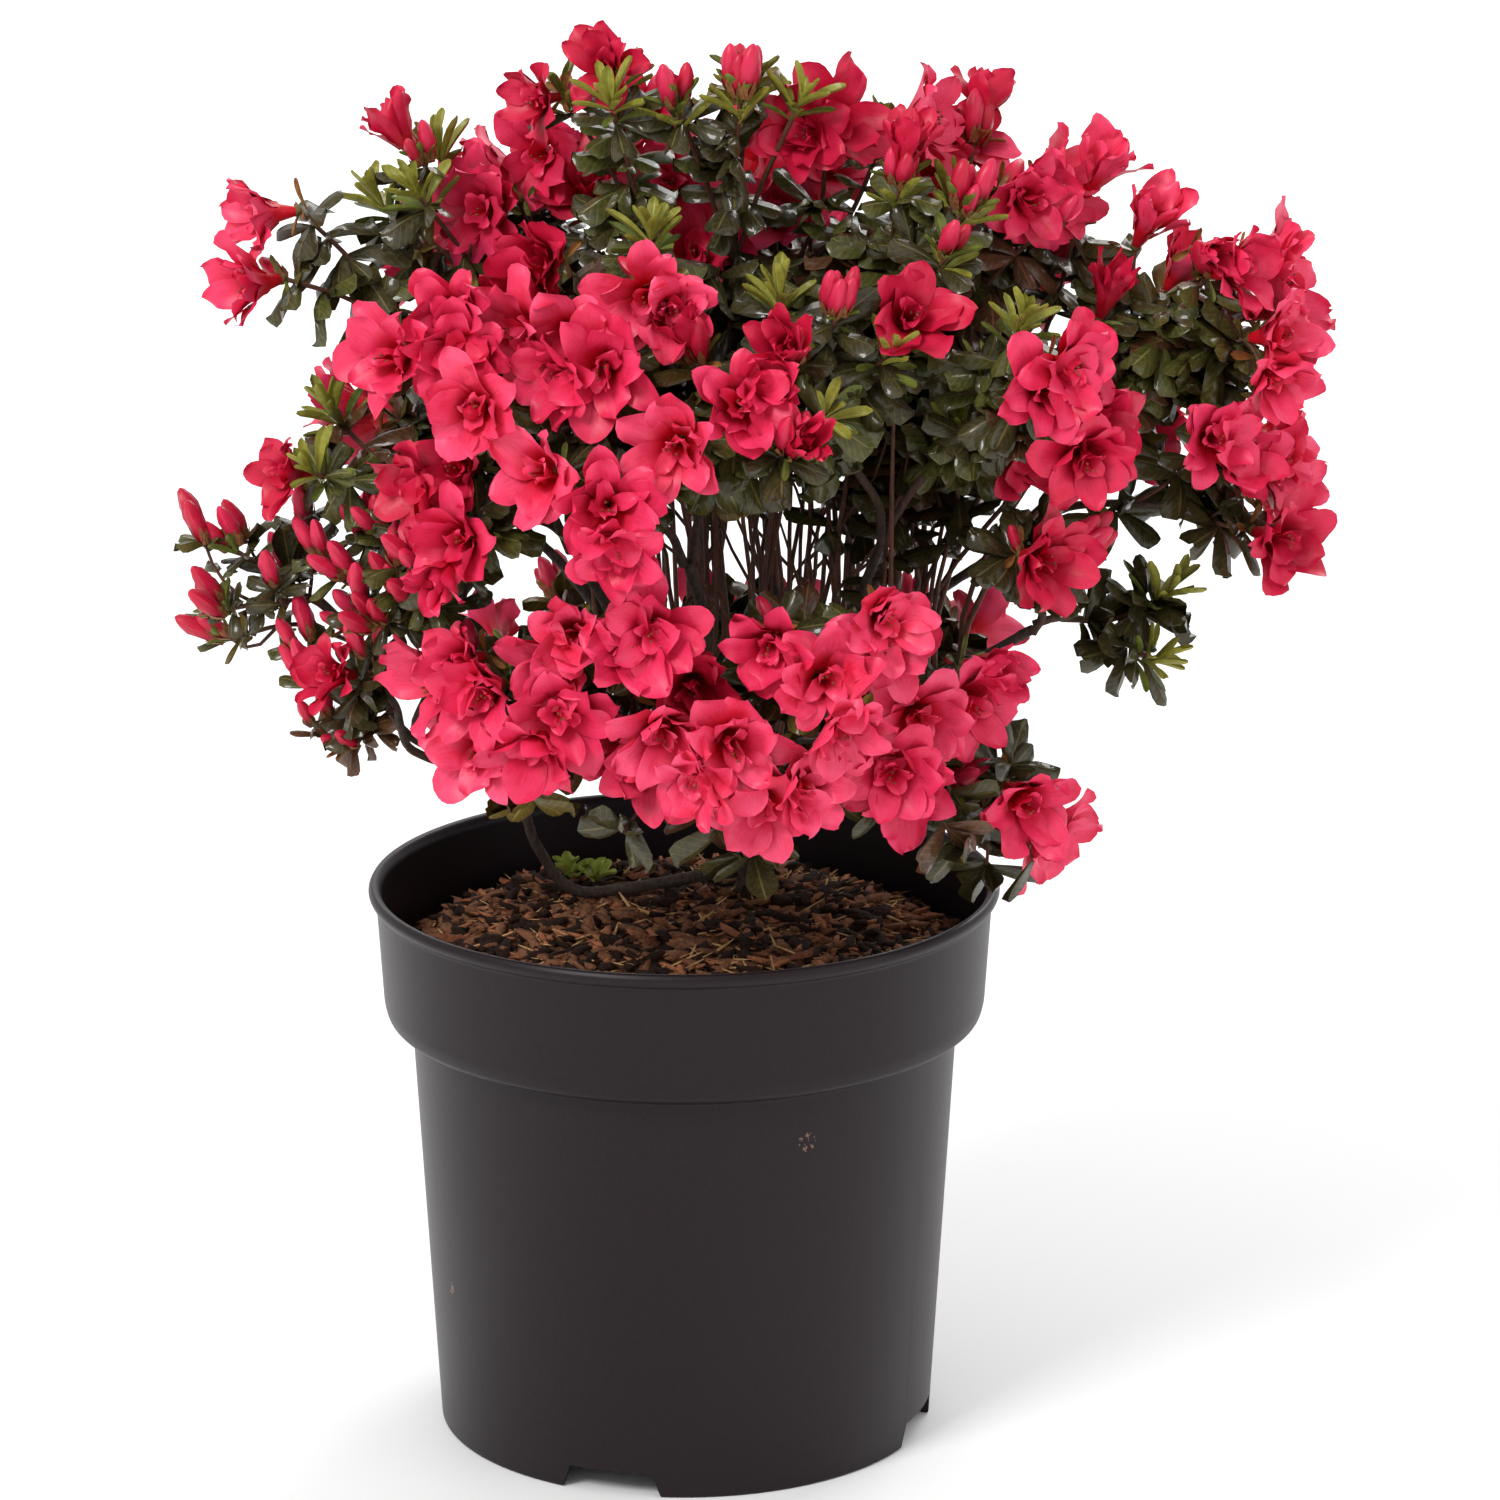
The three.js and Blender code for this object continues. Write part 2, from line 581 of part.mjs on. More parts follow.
// Each mass: the bough that carries it, the middle of its outer face (side, depth, height), the
// heads that its shoots end in (flowers, buds, flushes of new leaves), its leaves, and how far
// leaves clothe its stem below the heads. A kind that is not named is absent.
const massRows = {
  far_left_bloom: { bough: 'left_high', place: [-146, -20, 455], flowers: 2, leaves: 8, column: 40 },
  left_green: { bough: 'left_high', place: [-103, 5, 466], buds: 1, flush: 3, leaves: 7, column: 30 },
  left_side: { bough: 'left_high', place: [-136, -38, 372], flowers: 1, flush: 2, leaves: 8, column: 20 },
  left_front: { bough: 'left_front', place: [-86, -98, 426], flowers: 3, leaves: 6 },
  left_upper: { bough: 'left_front', place: [-32, -88, 446], flowers: 4, flush: 1, leaves: 5 },
  left_low_mid: { bough: 'left_front', place: [-82, -100, 370], flowers: 2, buds: 1, leaves: 6 },
  left_mid: { bough: 'front', place: [-38, -124, 390], flowers: 2, buds: 1, leaves: 8, column: 24 },
  centre_front: { bough: 'front', place: [16, -122, 407], flowers: 2, buds: 2, leaves: 6 },
  left_back: { bough: 'left_back', place: [-66, 42, 462], flowers: 3, leaves: 6 },
  top_left_spire: { bough: 'centre', place: [-35, -18, 510], flowers: 2, flush: 1, leaves: 10, column: 60 },
  bud_spire: { bough: 'centre', place: [17, -28, 506], buds: 3, flush: 1, leaves: 13, column: 80 },
  top_right: { bough: 'centre', place: [70, 0, 492], flowers: 2, leaves: 8, column: 40 },
  top_back: { bough: 'back', place: [12, 56, 460], flowers: 4, leaves: 6 },
  right_shoulder: { bough: 'right', place: [128, 12, 466], flowers: 2, buds: 3, leaves: 7 },
  right_front_spire: { bough: 'right', place: [91, -54, 468], buds: 3, flush: 1, leaves: 8, column: 44 },
  right_inner: { bough: 'right', place: [112, -48, 392], flowers: 1, flush: 2, leaves: 8 },
  centre_green: { bough: 'right_front', place: [52, -100, 430], buds: 2, flush: 3, leaves: 8, column: 30 },
  right_front: { bough: 'right_front', place: [132, -98, 414], flowers: 2, flush: 1, leaves: 8, column: 20 },
  right_low_half: { bough: 'right_arch', place: [134, -72, 352], flowers: 1, buds: 1, leaves: 8, column: 20 },
  right_hang: { bough: 'right_arch', place: [176, -12, 306], flush: 2, leaves: 12, column: 40 },
  far_right_mid: { bough: 'right_high', place: [213, -15, 358], flowers: 4, leaves: 6, column: 20 },
  far_right_upper: { bough: 'right_high', place: [211, -8, 424], flowers: 4, flush: 1, leaves: 7, column: 20 },
  left_bud: { bough: 'left_low', place: [-116, -62, 332], buds: 5, leaves: 6 },
  far_left_bud: { bough: 'left_low', place: [-166, -28, 320], buds: 3, leaves: 8, column: 20 },
  far_left_low: { bough: 'left_low', place: [-126, -60, 288], flowers: 1, buds: 1, leaves: 6 },
  skirt_far_left: { bough: 'low_side', place: [-66, -112, 298], flowers: 4, leaves: 5 },
  skirt_left: { bough: 'front_low', place: [-26, -126, 320], flowers: 3, leaves: 4 },
  skirt_mid: { bough: 'front_low', place: [8, -118, 284], flowers: 4, leaves: 5 },
  skirt_centre: { bough: 'front_right_low', place: [54, -122, 322], flowers: 3, flush: 1, leaves: 4 },
  skirt_right: { bough: 'front_right_low', place: [88, -94, 286], flowers: 3, buds: 2, leaves: 6 },
  skirt_far_right: { bough: 'front_right_low', place: [128, -64, 254], flowers: 2, leaves: 7 },
};

// The back of the crown: three tiers of like masses, spread evenly round it. Each tier has the
// bearing of its first mass and the step to the next, in degrees from +X, anticlockwise.
const lowCarriers = ['back_low', 'back_low', 'back_low'];
const backCarriers = ['right_back', 'back', 'left_back'];
const backTiers = {
  low: { reach: 128, height: 262, bearing: 50, step: 40, flowers: 2, buds: 1, boughs: lowCarriers },
  middle: { reach: 160, height: 366, bearing: 32, step: 58, flowers: 3, boughs: backCarriers },
  upper: { reach: 118, height: 436, bearing: 32, step: 58, flowers: 3, buds: 1, boughs: backCarriers },
};
const backLeaves = 7;
const backColumn = 10;

for (const [tier, row] of Object.entries(backTiers)) {
  row.boughs.forEach((bough, i) => {
    const turn = THREE.MathUtils.degToRad(row.bearing + row.step * i);
    const across = crownCentre.x + Math.cos(turn) * row.reach;
    const place = [across, crownCentre.y + Math.sin(turn) * row.reach, row.height];
    const { flowers, buds } = row;
    const name = `back_${tier}_${i + 1}`;
    massRows[name] = { bough, place, flowers, buds, leaves: backLeaves, column: backColumn };
  });
}

const masses = {};
for (const [name, row] of Object.entries(massRows)) {
  const { bough, place, flowers = 0, buds = 0, flush = 0, leaves, column = 0 } = row;
  masses[name] = { bough, place, flowers, buds, flush, leaves, column };
}

const headSpacing = 16.5;           // spread of a mass's heads, for one flower
const stemShare = 0.62;             // share of the way to the outer face at which the stem ends
const stemDepth = 24;               // the least depth of the stem's end behind the outer face
const faceCurl = 0.35;              // how far a mass's outer face curves back at its edge
const facingSpread = 0.16;
const leafFootDepth = 0.2;          // how far a leaf's foot stands behind the middle of its twig
const taken = [];                   // every solid placed so far, with its node's name and its box

function measure(entry) {
  const { min, max } = entry.solid.boundingBox();
  Object.assign(entry, { min, max });
}

function take(node, solid) {
  const entry = { node, solid };
  measure(entry);
  taken.push(entry);
  return entry;
}

// Whether a solid stays out of every other node's solids. With a carrier given, it also stays out
// of its own node's solids, apart from that carrier.
function isFree(node, solid, carrier = null) {
  const { min, max } = solid.boundingBox();
  return taken.every((other) => {
    if (other.node === node && (carrier === null || other === carrier)) return true;
    for (let k = 0; k < 3; k += 1) {
      if (min[k] > other.max[k] || max[k] < other.min[k]) return true;
    }
    return solid.intersect(other.solid).isEmpty();
  });
}

// The way a mass looks: out from the middle of the crown, and a little upward.
function outwardAt(place) {
  const outward = place.clone().sub(crownCentre);
  outward.z = outward.z * 0.8 + 30;
  return outward.normalize();
}

// Where a mass's heads stand and how they face: a golden-angle disc that curves back at its edge.
function headsOf(mass, random) {
  const place = new THREE.Vector3(...mass.place);
  const outward = outwardAt(place);
  const [level, rising] = sideways(outward);
  const kinds = [
    ...Array(mass.flowers).fill('flower'),
    ...Array(mass.buds).fill('buds'),
    ...Array(mass.flush).fill('flush'),
  ];
  const spread = headSpacing * Math.sqrt(mass.flowers + 0.7 * (mass.buds + mass.flush));
  const turn = random() * 2 * Math.PI;
  return kinds.map((kind, i) => {
    const share = kinds.length === 1 ? 0 : Math.sqrt((i + 0.5) / kinds.length);
    const angle = turn + i * goldenAngle;
    const aside = level.clone().multiplyScalar(Math.cos(angle)).addScaledVector(rising, Math.sin(angle));
    const tip = place.clone().addScaledVector(aside, spread * share);
    tip.addScaledVector(outward, -spread * share * share * faceCurl + spreadOf(random, 3));
    const facing = outward.clone().addScaledVector(aside, share * 0.55);
    facing.x += spreadOf(random, facingSpread);
    facing.y += spreadOf(random, facingSpread);
    facing.z += spreadOf(random, facingSpread);
    return { kind, tip, facing: facing.normalize(), roll: random() * 2 * Math.PI };
  });
}

const stems = {};

// One stem from the bough's tip towards the middle of the mass.
function growStem(name, mass, foot, bough, random) {
  const place = new THREE.Vector3(...mass.place);
  const outward = outwardAt(place);
  const reach = foot.distanceTo(place);
  const end = place.clone().addScaledVector(outward, -Math.max(stemDepth, reach * (1 - stemShare)));
  const arrive = end.clone().sub(foot).normalize().add(outward).normalize();
  const steps = 4;
  for (let attempt = 0; attempt < 60; attempt += 1) {
    const route = routeOf({
      from: foot, to: end, leave: bough.direction, arrive, steps, jog: 1.2, sway: attempt, random,
    });
    if (routeIsClear(route.points, stemFootRadius, name, `bough_${mass.bough}`)) {
      const solid = tubeAlong(route, taper(stemFootRadius, stemTipRadius, steps), stemSides);
      limbs.push({ node: name, points: route.points, radius: stemFootRadius });
      stems[name] = { ...route, entry: take(name, solid) };
      return;
    }
  }
  throw new Error(`no clear route for the stem of ${name}`);
}

// A point at a share of a route's length, with the direction there.
function alongRoute(route, share) {
  const last = route.points.length - 1;
  const spot = Math.min(share * last, last - 1e-6);
  const i = Math.floor(spot);
  const point = route.points[i].clone().lerp(route.points[i + 1], spot - i);
  return { point, direction: route.points[i + 1].clone().sub(route.points[i]).normalize() };
}

const shoots = {};

// Shoots fan from the outer part of the stem to the heads, and those that find no way are left out.
function growShoots(name, mass, random) {
  shoots[name] = [];
  const placed = headsOf(mass, random);
  placed.forEach((head, i) => {
    const share = 1 - 0.45 * (i / placed.length);
    const start = alongRoute(stems[name], share);
    const neck = head.kind === 'flower' ? headNeck : 4;
    const end = head.tip.clone().addScaledVector(head.facing, -neck);
    const leave = start.direction.clone().lerp(end.clone().sub(start.point).normalize(), 0.5).normalize();
    const steps = 2;
    for (let attempt = 0; attempt < 10; attempt += 1) {
      const route = routeOf({
        from: start.point, to: end, leave, arrive: head.facing, steps, jog: 0.8, sway: attempt * 1.5, random,
      });
      if (routeIsClear(route.points, shootTipRadius, name, name)) {
        const radii = taper(shootFootRadius, shootTipRadius, steps);
        const tube = ringsAlong(route, radii, shootSides);
        limbs.push({ node: name, points: route.points, radius: shootTipRadius });
        shoots[name].push({ ...head, route, tube, entry: take(name, tubeAlong(route, radii, shootSides)) });
        return;
      }
    }
  });
}

// Each shoot opens into its head, at the largest size that has room, clear of its own mass if it can.
function growHeads(name) {
  for (const shoot of shoots[name]) {
    const { across, upright } = shoot.tube;
    const fits = (share, carrier) => isFree(name, headRoom(shoot, share, across, upright), carrier);
    const alone = headSizes.find((share) => fits(share, shoot.entry));
    const size = alone ?? headSizes.find((share) => fits(share, null));
    if (size !== undefined) {
      shoot.entry.solid = openingShoot(shoot, size);
      measure(shoot.entry);
    }
  }
}

// A leaf springs from a point of a twig, at a golden angle round it, and tips outwards. It takes
// the largest size that has room, and is left out where none has.
function springLeaf(name, spot, turn, splay, carrier, random) {
  const [level, rising] = sideways(spot.direction);
  const facing = spot.direction.clone().multiplyScalar(Math.cos(splay));
  facing.addScaledVector(level, Math.cos(turn) * Math.sin(splay));
  facing.addScaledVector(rising, Math.sin(turn) * Math.sin(splay)).normalize();
  const foot = spot.point.clone().addScaledVector(facing, -leafFootDepth);
  const length = leafLength * (0.8 + random() * 0.3);
  const width = leafWidth * (0.85 + random() * 0.25);
  const roll = spreadOf(random, 0.4);
  const make = (size, grow) => leafSolid(foot, facing, roll, length * size, width * size, grow);
  const fitting = leafSizes.find((size) => isFree(name, make(size, gap), carrier));
  if (fitting !== undefined) take(name, make(fitting, 0));
}

// Leaves stand in whorls under the heads, and along the outer part of the stem.
function growLeaves(name, mass, random) {
  const onStem = Math.round(mass.leaves * Math.min(mass.column / 90, 0.7));
  const stem = stems[name];
  const stemLength = stem.points[0].distanceTo(stem.points[stem.points.length - 1]);
  for (let i = 0; i < onStem; i += 1) {
    const back = Math.min(mass.column / stemLength, 0.8) * ((i + 0.5) / onStem);
    springLeaf(name, alongRoute(stem, 1 - back), i * goldenAngle, 1.05, stem.entry, random);
  }
  const twigs = shoots[name];
  if (twigs.length === 0) return;
  for (let i = 0; i < mass.leaves - onStem; i += 1) {
    const twig = twigs[i % twigs.length];
    const rank = Math.floor(i / twigs.length);
    const spot = alongRoute(twig.route, 0.93 - 0.13 * rank);
    const splay = 1.15 + spreadOf(random, 0.2);
    springLeaf(name, spot, twig.roll + i * goldenAngle, splay, twig.entry, random);
  }
}

function growMasses() {
  const names = Object.keys(masses);
  const randoms = Object.fromEntries(names.map((name, i) => [name, seededNumbers(101 + i * 7)]));
  for (const [bough, tip] of Object.entries(boughEnds)) {
    const carried = names.filter((name) => masses[name].bough === bough);
    const feet = feetOn(tip.end, tip.direction, carried.length, stemFootRadius);
    const shared = shareFeet(feet, carried.map((name) => new THREE.Vector3(...masses[name].place)));
    carried.forEach((name, i) => growStem(name, masses[name], shared[i], tip, randoms[name]));
  }
  for (const name of names) growShoots(name, masses[name], randoms[name]);
  for (const name of names) growHeads(name);
  for (const name of names) growLeaves(name, masses[name], randoms[name]);
}

// ---------------------------------------------------------------- the whole plant

addNode('pot', potSolid(), plastic);
addNode('soil', soilSolid(), pottingMix);
const trunk = trunkSolid();
addNode('trunk', trunk, bark);
take('trunk', trunk);
growBoughs();
for (const [name, solid] of Object.entries(limbSolids)) {
  addNode(name, solid, bark);
  take(name, solid);
}
growMasses();
for (const [name, mass] of Object.entries(masses)) {
  const pieces = taken.filter((entry) => entry.node === name).map((entry) => entry.solid);
  const material = mass.flowers + mass.buds > mass.flush ? bloom : greenery;
  addNode(`mass_${name}`, largestBody(joined(pieces)), material);
}

export default plant;
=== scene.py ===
import math

import bpy
import numpy as np
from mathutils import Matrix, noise


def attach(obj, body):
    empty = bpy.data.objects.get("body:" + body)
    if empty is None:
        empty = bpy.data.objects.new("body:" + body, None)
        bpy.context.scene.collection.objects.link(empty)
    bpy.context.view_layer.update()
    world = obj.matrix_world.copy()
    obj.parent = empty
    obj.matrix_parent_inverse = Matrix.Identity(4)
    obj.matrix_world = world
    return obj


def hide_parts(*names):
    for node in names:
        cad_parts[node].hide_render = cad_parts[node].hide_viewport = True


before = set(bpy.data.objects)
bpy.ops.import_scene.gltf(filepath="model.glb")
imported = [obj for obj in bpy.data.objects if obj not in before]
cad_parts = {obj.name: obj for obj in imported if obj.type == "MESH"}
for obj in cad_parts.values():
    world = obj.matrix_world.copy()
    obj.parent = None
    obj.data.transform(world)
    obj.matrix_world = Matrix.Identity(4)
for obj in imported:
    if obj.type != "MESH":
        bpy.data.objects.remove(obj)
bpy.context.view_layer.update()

# ---------------------------------------------------------------- camera, floor and light
# The potted shrub stands on a plain pale floor, in the soft light of large lamps, and is seen
# from 2.4 metres away and a little above. One lamp brightens the floor behind the shrub.

mm = 0.001
camera_distance = 2400 * mm
camera_rise = math.radians(16.05)
camera_target = np.array([23.9, 0.0, 253.6]) * mm
camera_lens = 159.3

scene = bpy.context.scene
scene.view_settings.view_transform = "Standard"

camera_data = bpy.data.cameras.new("camera")
camera_data.lens = camera_lens
camera_data.sensor_width = 36
camera_data.clip_start = 0.05
camera_data.clip_end = 50
camera = bpy.data.objects.new("camera", camera_data)
camera_back = np.array([0.0, -math.cos(camera_rise), math.sin(camera_rise)])
camera.location = camera_target + camera_back * camera_distance
camera.rotation_euler = (math.pi / 2 - camera_rise, 0, 0)
scene.collection.objects.link(camera)
scene.camera = camera

floor_size = 6.0
floor_white = 0.95
floor_roughness = 0.9
studio_light = 0.72
floor_mesh = bpy.data.meshes.new("floor")
floor_corners = [(x * floor_size, y * floor_size, 0) for x, y in ((-1, -1), (1, -1), (1, 1), (-1, 1))]
floor_mesh.from_pydata(floor_corners, [], [(0, 1, 2, 3)])
floor = bpy.data.objects.new("floor", floor_mesh)
scene.collection.objects.link(floor)
floor_finish = bpy.data.materials.new("floor_paper")
floor_finish.use_nodes = True
floor_shader = floor_finish.node_tree.nodes["Principled BSDF"]
floor_shader.inputs["Base Color"].default_value = (floor_white, floor_white, floor_white, 1)
floor_shader.inputs["Roughness"].default_value = floor_roughness
floor_mesh.materials.append(floor_finish)

world = bpy.data.worlds.new("studio")
world.use_nodes = True
world.node_tree.nodes["Background"].inputs["Color"].default_value = (1.0, 1.0, 1.0, 1)
world.node_tree.nodes["Background"].inputs["Strength"].default_value = studio_light
scene.world = world

lamps = {
    "key": {"place": (-1.5, -1.9, 2.3), "aim": (0, 0, 0.3), "size": 1.0, "power": 54},
    "fill": {"place": (2.2, -1.2, 1.0), "aim": (0, 0, 0.3), "size": 1.4, "power": 7},
    "rim": {"place": (1.2, 1.9, 1.9), "aim": (0, 0, 0.3), "size": 1.2, "power": 22},
    "backdrop": {"place": (0, 3.6, 2.4), "aim": (0, 3.8, 0), "size": 2.6, "power": 60},
}
for lamp_name, lamp in lamps.items():
    lamp_data = bpy.data.lights.new(lamp_name, "AREA")
    lamp_data.energy = lamp["power"]
    lamp_data.size = lamp["size"]
    lamp_object = bpy.data.objects.new(lamp_name, lamp_data)
    lamp_object.location = lamp["place"]
    towards = np.array(lamp["aim"]) - np.array(lamp["place"])
    level_reach = math.hypot(towards[0], towards[1])
    tilt = math.atan2(level_reach, -towards[2])
    lamp_object.rotation_euler = (tilt, 0, math.atan2(towards[1], towards[0]) - math.pi / 2)
    scene.collection.objects.link(lamp_object)

# ---------------------------------------------------------------- pot
# A round nursery pot, injection moulded in one piece from dark recycled polypropylene: a thin
# tapered wall, a wide band round the top with a beaded rim, and a foot ring with four notches
# and drain holes for the water to leave by.

pot_height = 205.0
rim_radius = 115.0
pot_base_radius = 90.4
pot_wall = 2.2
band_foot_height = 154.0
band_foot_radius = 109.5
band_top_radius = 112.0
under_band_radius = 99.5
pot_floor_height = 10.0
foot_ring = 2.6
foot_ease = 1.4
foot_pad_radius = 20.0
pot_sides = 144
pot_ease = 1.6
notch_count = 4
notch_height = 9.0
notch_width = 38.0
notch_top_width = 31.0
first_notch_angle = math.radians(-107)
drain_count = 5
drain_radius = 4.5
drain_ring_radius = 58.0


def add_piece(name, places, face_groups, finishes, face_finishes=None, face_uv=None):
    """A mesh piece from places in millimetres and arrays of faces that have equal corner counts."""
    mesh = bpy.data.meshes.new(name)
    mesh.vertices.add(len(places))
    mesh.vertices.foreach_set("co", (np.asarray(places, dtype=np.float64) * mm).ravel())
    loops = np.concatenate([group.ravel() for group in face_groups])
    totals = np.concatenate([np.full(len(group), group.shape[1]) for group in face_groups])
    mesh.loops.add(len(loops))
    mesh.loops.foreach_set("vertex_index", loops.astype(np.int32))
    mesh.polygons.add(len(totals))
    starts = np.concatenate([[0], np.cumsum(totals)[:-1]])
    mesh.polygons.foreach_set("loop_start", starts.astype(np.int32))
    mesh.polygons.foreach_set("use_smooth", np.ones(len(totals), dtype=bool))
    if face_finishes is not None:
        mesh.polygons.foreach_set("material_index", np.asarray(face_finishes, dtype=np.int32))
    if face_uv is not None:
        layer = mesh.uv_layers.new(name="shape")
        layer.data.foreach_set("uv", face_uv[loops].astype(np.float32).ravel())
    for finish in finishes:
        mesh.materials.append(finish)
    mesh.update(calc_edges=True)
    mesh.validate()
    piece = bpy.data.objects.new(name, mesh)
    scene.collection.objects.link(piece)
    return piece


def circle(radius, height, sides, x=0.0, y=0.0):
    """Places round an upright axis."""
    turns = [2 * math.pi * k / sides for k in range(sides)]
    return [(x + radius * math.cos(turn), y + radius * math.sin(turn), height) for turn in turns]


def lathe(profile, sides):
    """Places and faces of a closed turned shape from (radius, height) points in order."""
    places = []
    rings = []
    for radius, height in profile:
        if radius < 1e-6:
            rings.append([len(places)] * sides)
            places.append((0.0, 0.0, height))
            continue
        rings.append(list(range(len(places), len(places) + sides)))
        places += circle(radius, height, sides)
    quads = []
    triangles = []
    for lower, upper in zip(rings[:-1], rings[1:]):
        for k in range(sides):
            n = (k + 1) % sides
            if lower[0] == lower[1]:
                triangles.append((lower[k], upper[n], upper[k]))
            elif upper[0] == upper[1]:
                triangles.append((lower[k], lower[n], upper[k]))
            else:
                quads.append((lower[k], lower[n], upper[n], upper[k]))
    return places, quads, triangles


def eased(corners, radius, steps=4):
    """An outline with each inner corner rounded by a small arc."""
    smooth = [corners[0]]
    for before, corner, after in zip(corners[:-2], corners[1:-1], corners[2:]):
        a, b, c = (np.array(p, dtype=float) for p in (before, corner, after))
        reach = min(radius, np.linalg.norm(a - b) * 0.45, np.linalg.norm(c - b) * 0.45)
        start = b + (a - b) / np.linalg.norm(a - b) * reach
        end = b + (c - b) / np.linalg.norm(c - b) * reach
        for i in range(steps + 1):
            t = i / steps
            smooth.append(tuple((1 - t) ** 2 * start + 2 * (1 - t) * t * b + t ** 2 * end))
    smooth.append(corners[-1])
    return smooth


pot_outline = [
    (0, 0), (foot_pad_radius, 0), (foot_pad_radius + 3, pot_floor_height),
    (pot_base_radius - foot_ring, pot_floor_height), (pot_base_radius - foot_ring, 0),
    (pot_base_radius, 0), (under_band_radius, band_foot_height - 1),
    (under_band_radius + 5, band_foot_height), (band_foot_radius - 1.2, band_foot_height + 2.4),
    (band_foot_radius, band_foot_height + 7), (band_top_radius, pot_height - 6),
    (rim_radius - 1, pot_height - 4.6), (rim_radius, pot_height - 2.4), (rim_radius - 1.4, pot_height),
    (band_top_radius - 0.6, pot_height - 0.4), (band_top_radius - pot_wall, pot_height - 3),
    (band_foot_radius - pot_wall, band_foot_height + 8), (under_band_radius + 3, band_foot_height + 2.4),
    (under_band_radius - pot_wall, band_foot_height + 1),
    (pot_base_radius - foot_ease, pot_floor_height + pot_wall), (0, pot_floor_height + pot_wall),
]
pot_places, pot_quads, pot_triangles = lathe(eased(pot_outline, pot_ease), pot_sides)


def feed(tree, node, inputs):
    """Puts values or other nodes' results on a node's inputs."""
    for name, value in inputs.items():
        if isinstance(value, bpy.types.NodeSocket):
            tree.links.new(value, node.inputs[name])
        else:
            node.inputs[name].default_value = value


def add_node(tree, kind, inputs=None, **settings):
    """A node in a tree, with its settings and with values or other nodes' results on its inputs."""
    node = tree.nodes.new(kind)
    for name, value in settings.items():
        setattr(node, name, value)
    feed(tree, node, inputs or {})
    return node


def worked(tree, operation, first, second=None):
    """The result of a Math node in a tree, on values or on other nodes' results."""
    inputs = {0: first} if second is None else {0: first, 1: second}
    return add_node(tree, "ShaderNodeMath", inputs, operation=operation).outputs[0]


def blended(tree, share, first, second):
    """The colour between two others, by the share of the second."""
    inputs = {"Factor": share, "A": first, "B": second}
    return add_node(tree, "ShaderNodeMix", inputs, data_type="RGBA").outputs["Result"]


def make_group(name, kind, inputs, outputs):
    """A node group whose sockets have these names and kinds, and what its nodes are given."""
    group = bpy.data.node_groups.new(name, kind)
    for in_out, sockets in (("INPUT", inputs), ("OUTPUT", outputs)):
        for label, socket_kind in sockets.items():
            group.interface.new_socket(name=label, in_out=in_out, socket_type=f"NodeSocket{socket_kind}")
    return group, add_node(group, "NodeGroupInput").outputs


def make_mottle():
    """A shader group that blends three colours by two noises, and gives their height."""
    group, given = make_group("mottle", "ShaderNodeTree", {
        "Dark": "Color", "Middle": "Color", "Light": "Color", "Coarse scale": "Float",
        "Fine scale": "Float", "Stretch": "Float"}, {"Colour": "Color", "Value": "Float"})
    place = add_node(group, "ShaderNodeTexCoord").outputs["Object"]
    stretch = add_node(group, "ShaderNodeCombineXYZ", {"X": 1, "Y": 1, "Z": given["Stretch"]})
    drawn = add_node(group, "ShaderNodeVectorMath", {0: place, 1: stretch.outputs[0]}, operation="MULTIPLY")
    parts = []
    for scale_name, detail in (("Coarse scale", 3), ("Fine scale", 5)):
        grain = add_node(group, "ShaderNodeTexNoise", {
            "Detail": detail, "Vector": drawn.outputs[0], "Scale": given[scale_name]})
        spread = add_node(group, "ShaderNodeMapRange", {
            "From Min": 0.32, "From Max": 0.68, "Value": grain.outputs["Fac"]})
        parts.append(spread.outputs["Result"])
    ground = blended(group, parts[0], given["Dark"], given["Middle"])
    colour = blended(group, worked(group, "MULTIPLY", parts[1], 0.6), ground, given["Light"])
    add_node(group, "NodeGroupOutput", {"Colour": colour, "Value": parts[1]})
    return group


mottle = make_mottle()


def srgb(red, green, blue):
    """A colour given as it looks on a screen, 0 to 255, as the linear colour of a shader."""
    def linear(value):
        share = value / 255
        return share / 12.92 if share <= 0.04045 else ((share + 0.055) / 1.055) ** 2.4
    return (linear(red), linear(green), linear(blue), 1.0)


def feed_shader(finish, inputs):
    """Puts values or nodes' results on the inputs of a material's shader."""
    feed(finish.node_tree, finish.node_tree.nodes["Principled BSDF"], inputs)


def fed_to(finish, name):
    """The result that a material's shader has on one of its inputs."""
    return finish.node_tree.nodes["Principled BSDF"].inputs[name].links[0].from_socket


def mottled_finish(name, dark, middle, light, coarse, fine, roughness, bump=0.1, depth=0.0002, stretch=1.0,
                   specular=0.5):
    """A material whose colour and relief come from the mottle group, from screen colours."""
    finish = bpy.data.materials.new(name)
    finish.use_nodes = True
    tree = finish.node_tree
    speckle = add_node(tree, "ShaderNodeGroup", {
        "Dark": srgb(*dark), "Middle": srgb(*middle), "Light": srgb(*light), "Coarse scale": coarse,
        "Fine scale": fine, "Stretch": stretch}, node_tree=mottle)
    relief = add_node(tree, "ShaderNodeBump", {
        "Strength": bump, "Distance": depth, "Height": speckle.outputs["Value"]})
    feed_shader(finish, {"Base Color": speckle.outputs["Colour"], "Normal": relief.outputs["Normal"],
                         "Roughness": roughness, "Specular IOR Level": specular})
    return finish


pot_finish = mottled_finish(
    "dark_polypropylene", (21, 12, 16), (25, 15, 19), (31, 20, 25), coarse=9, fine=900, roughness=0.4,
    bump=0.12, depth=0.0001, stretch=0.4, specular=0.24,
)


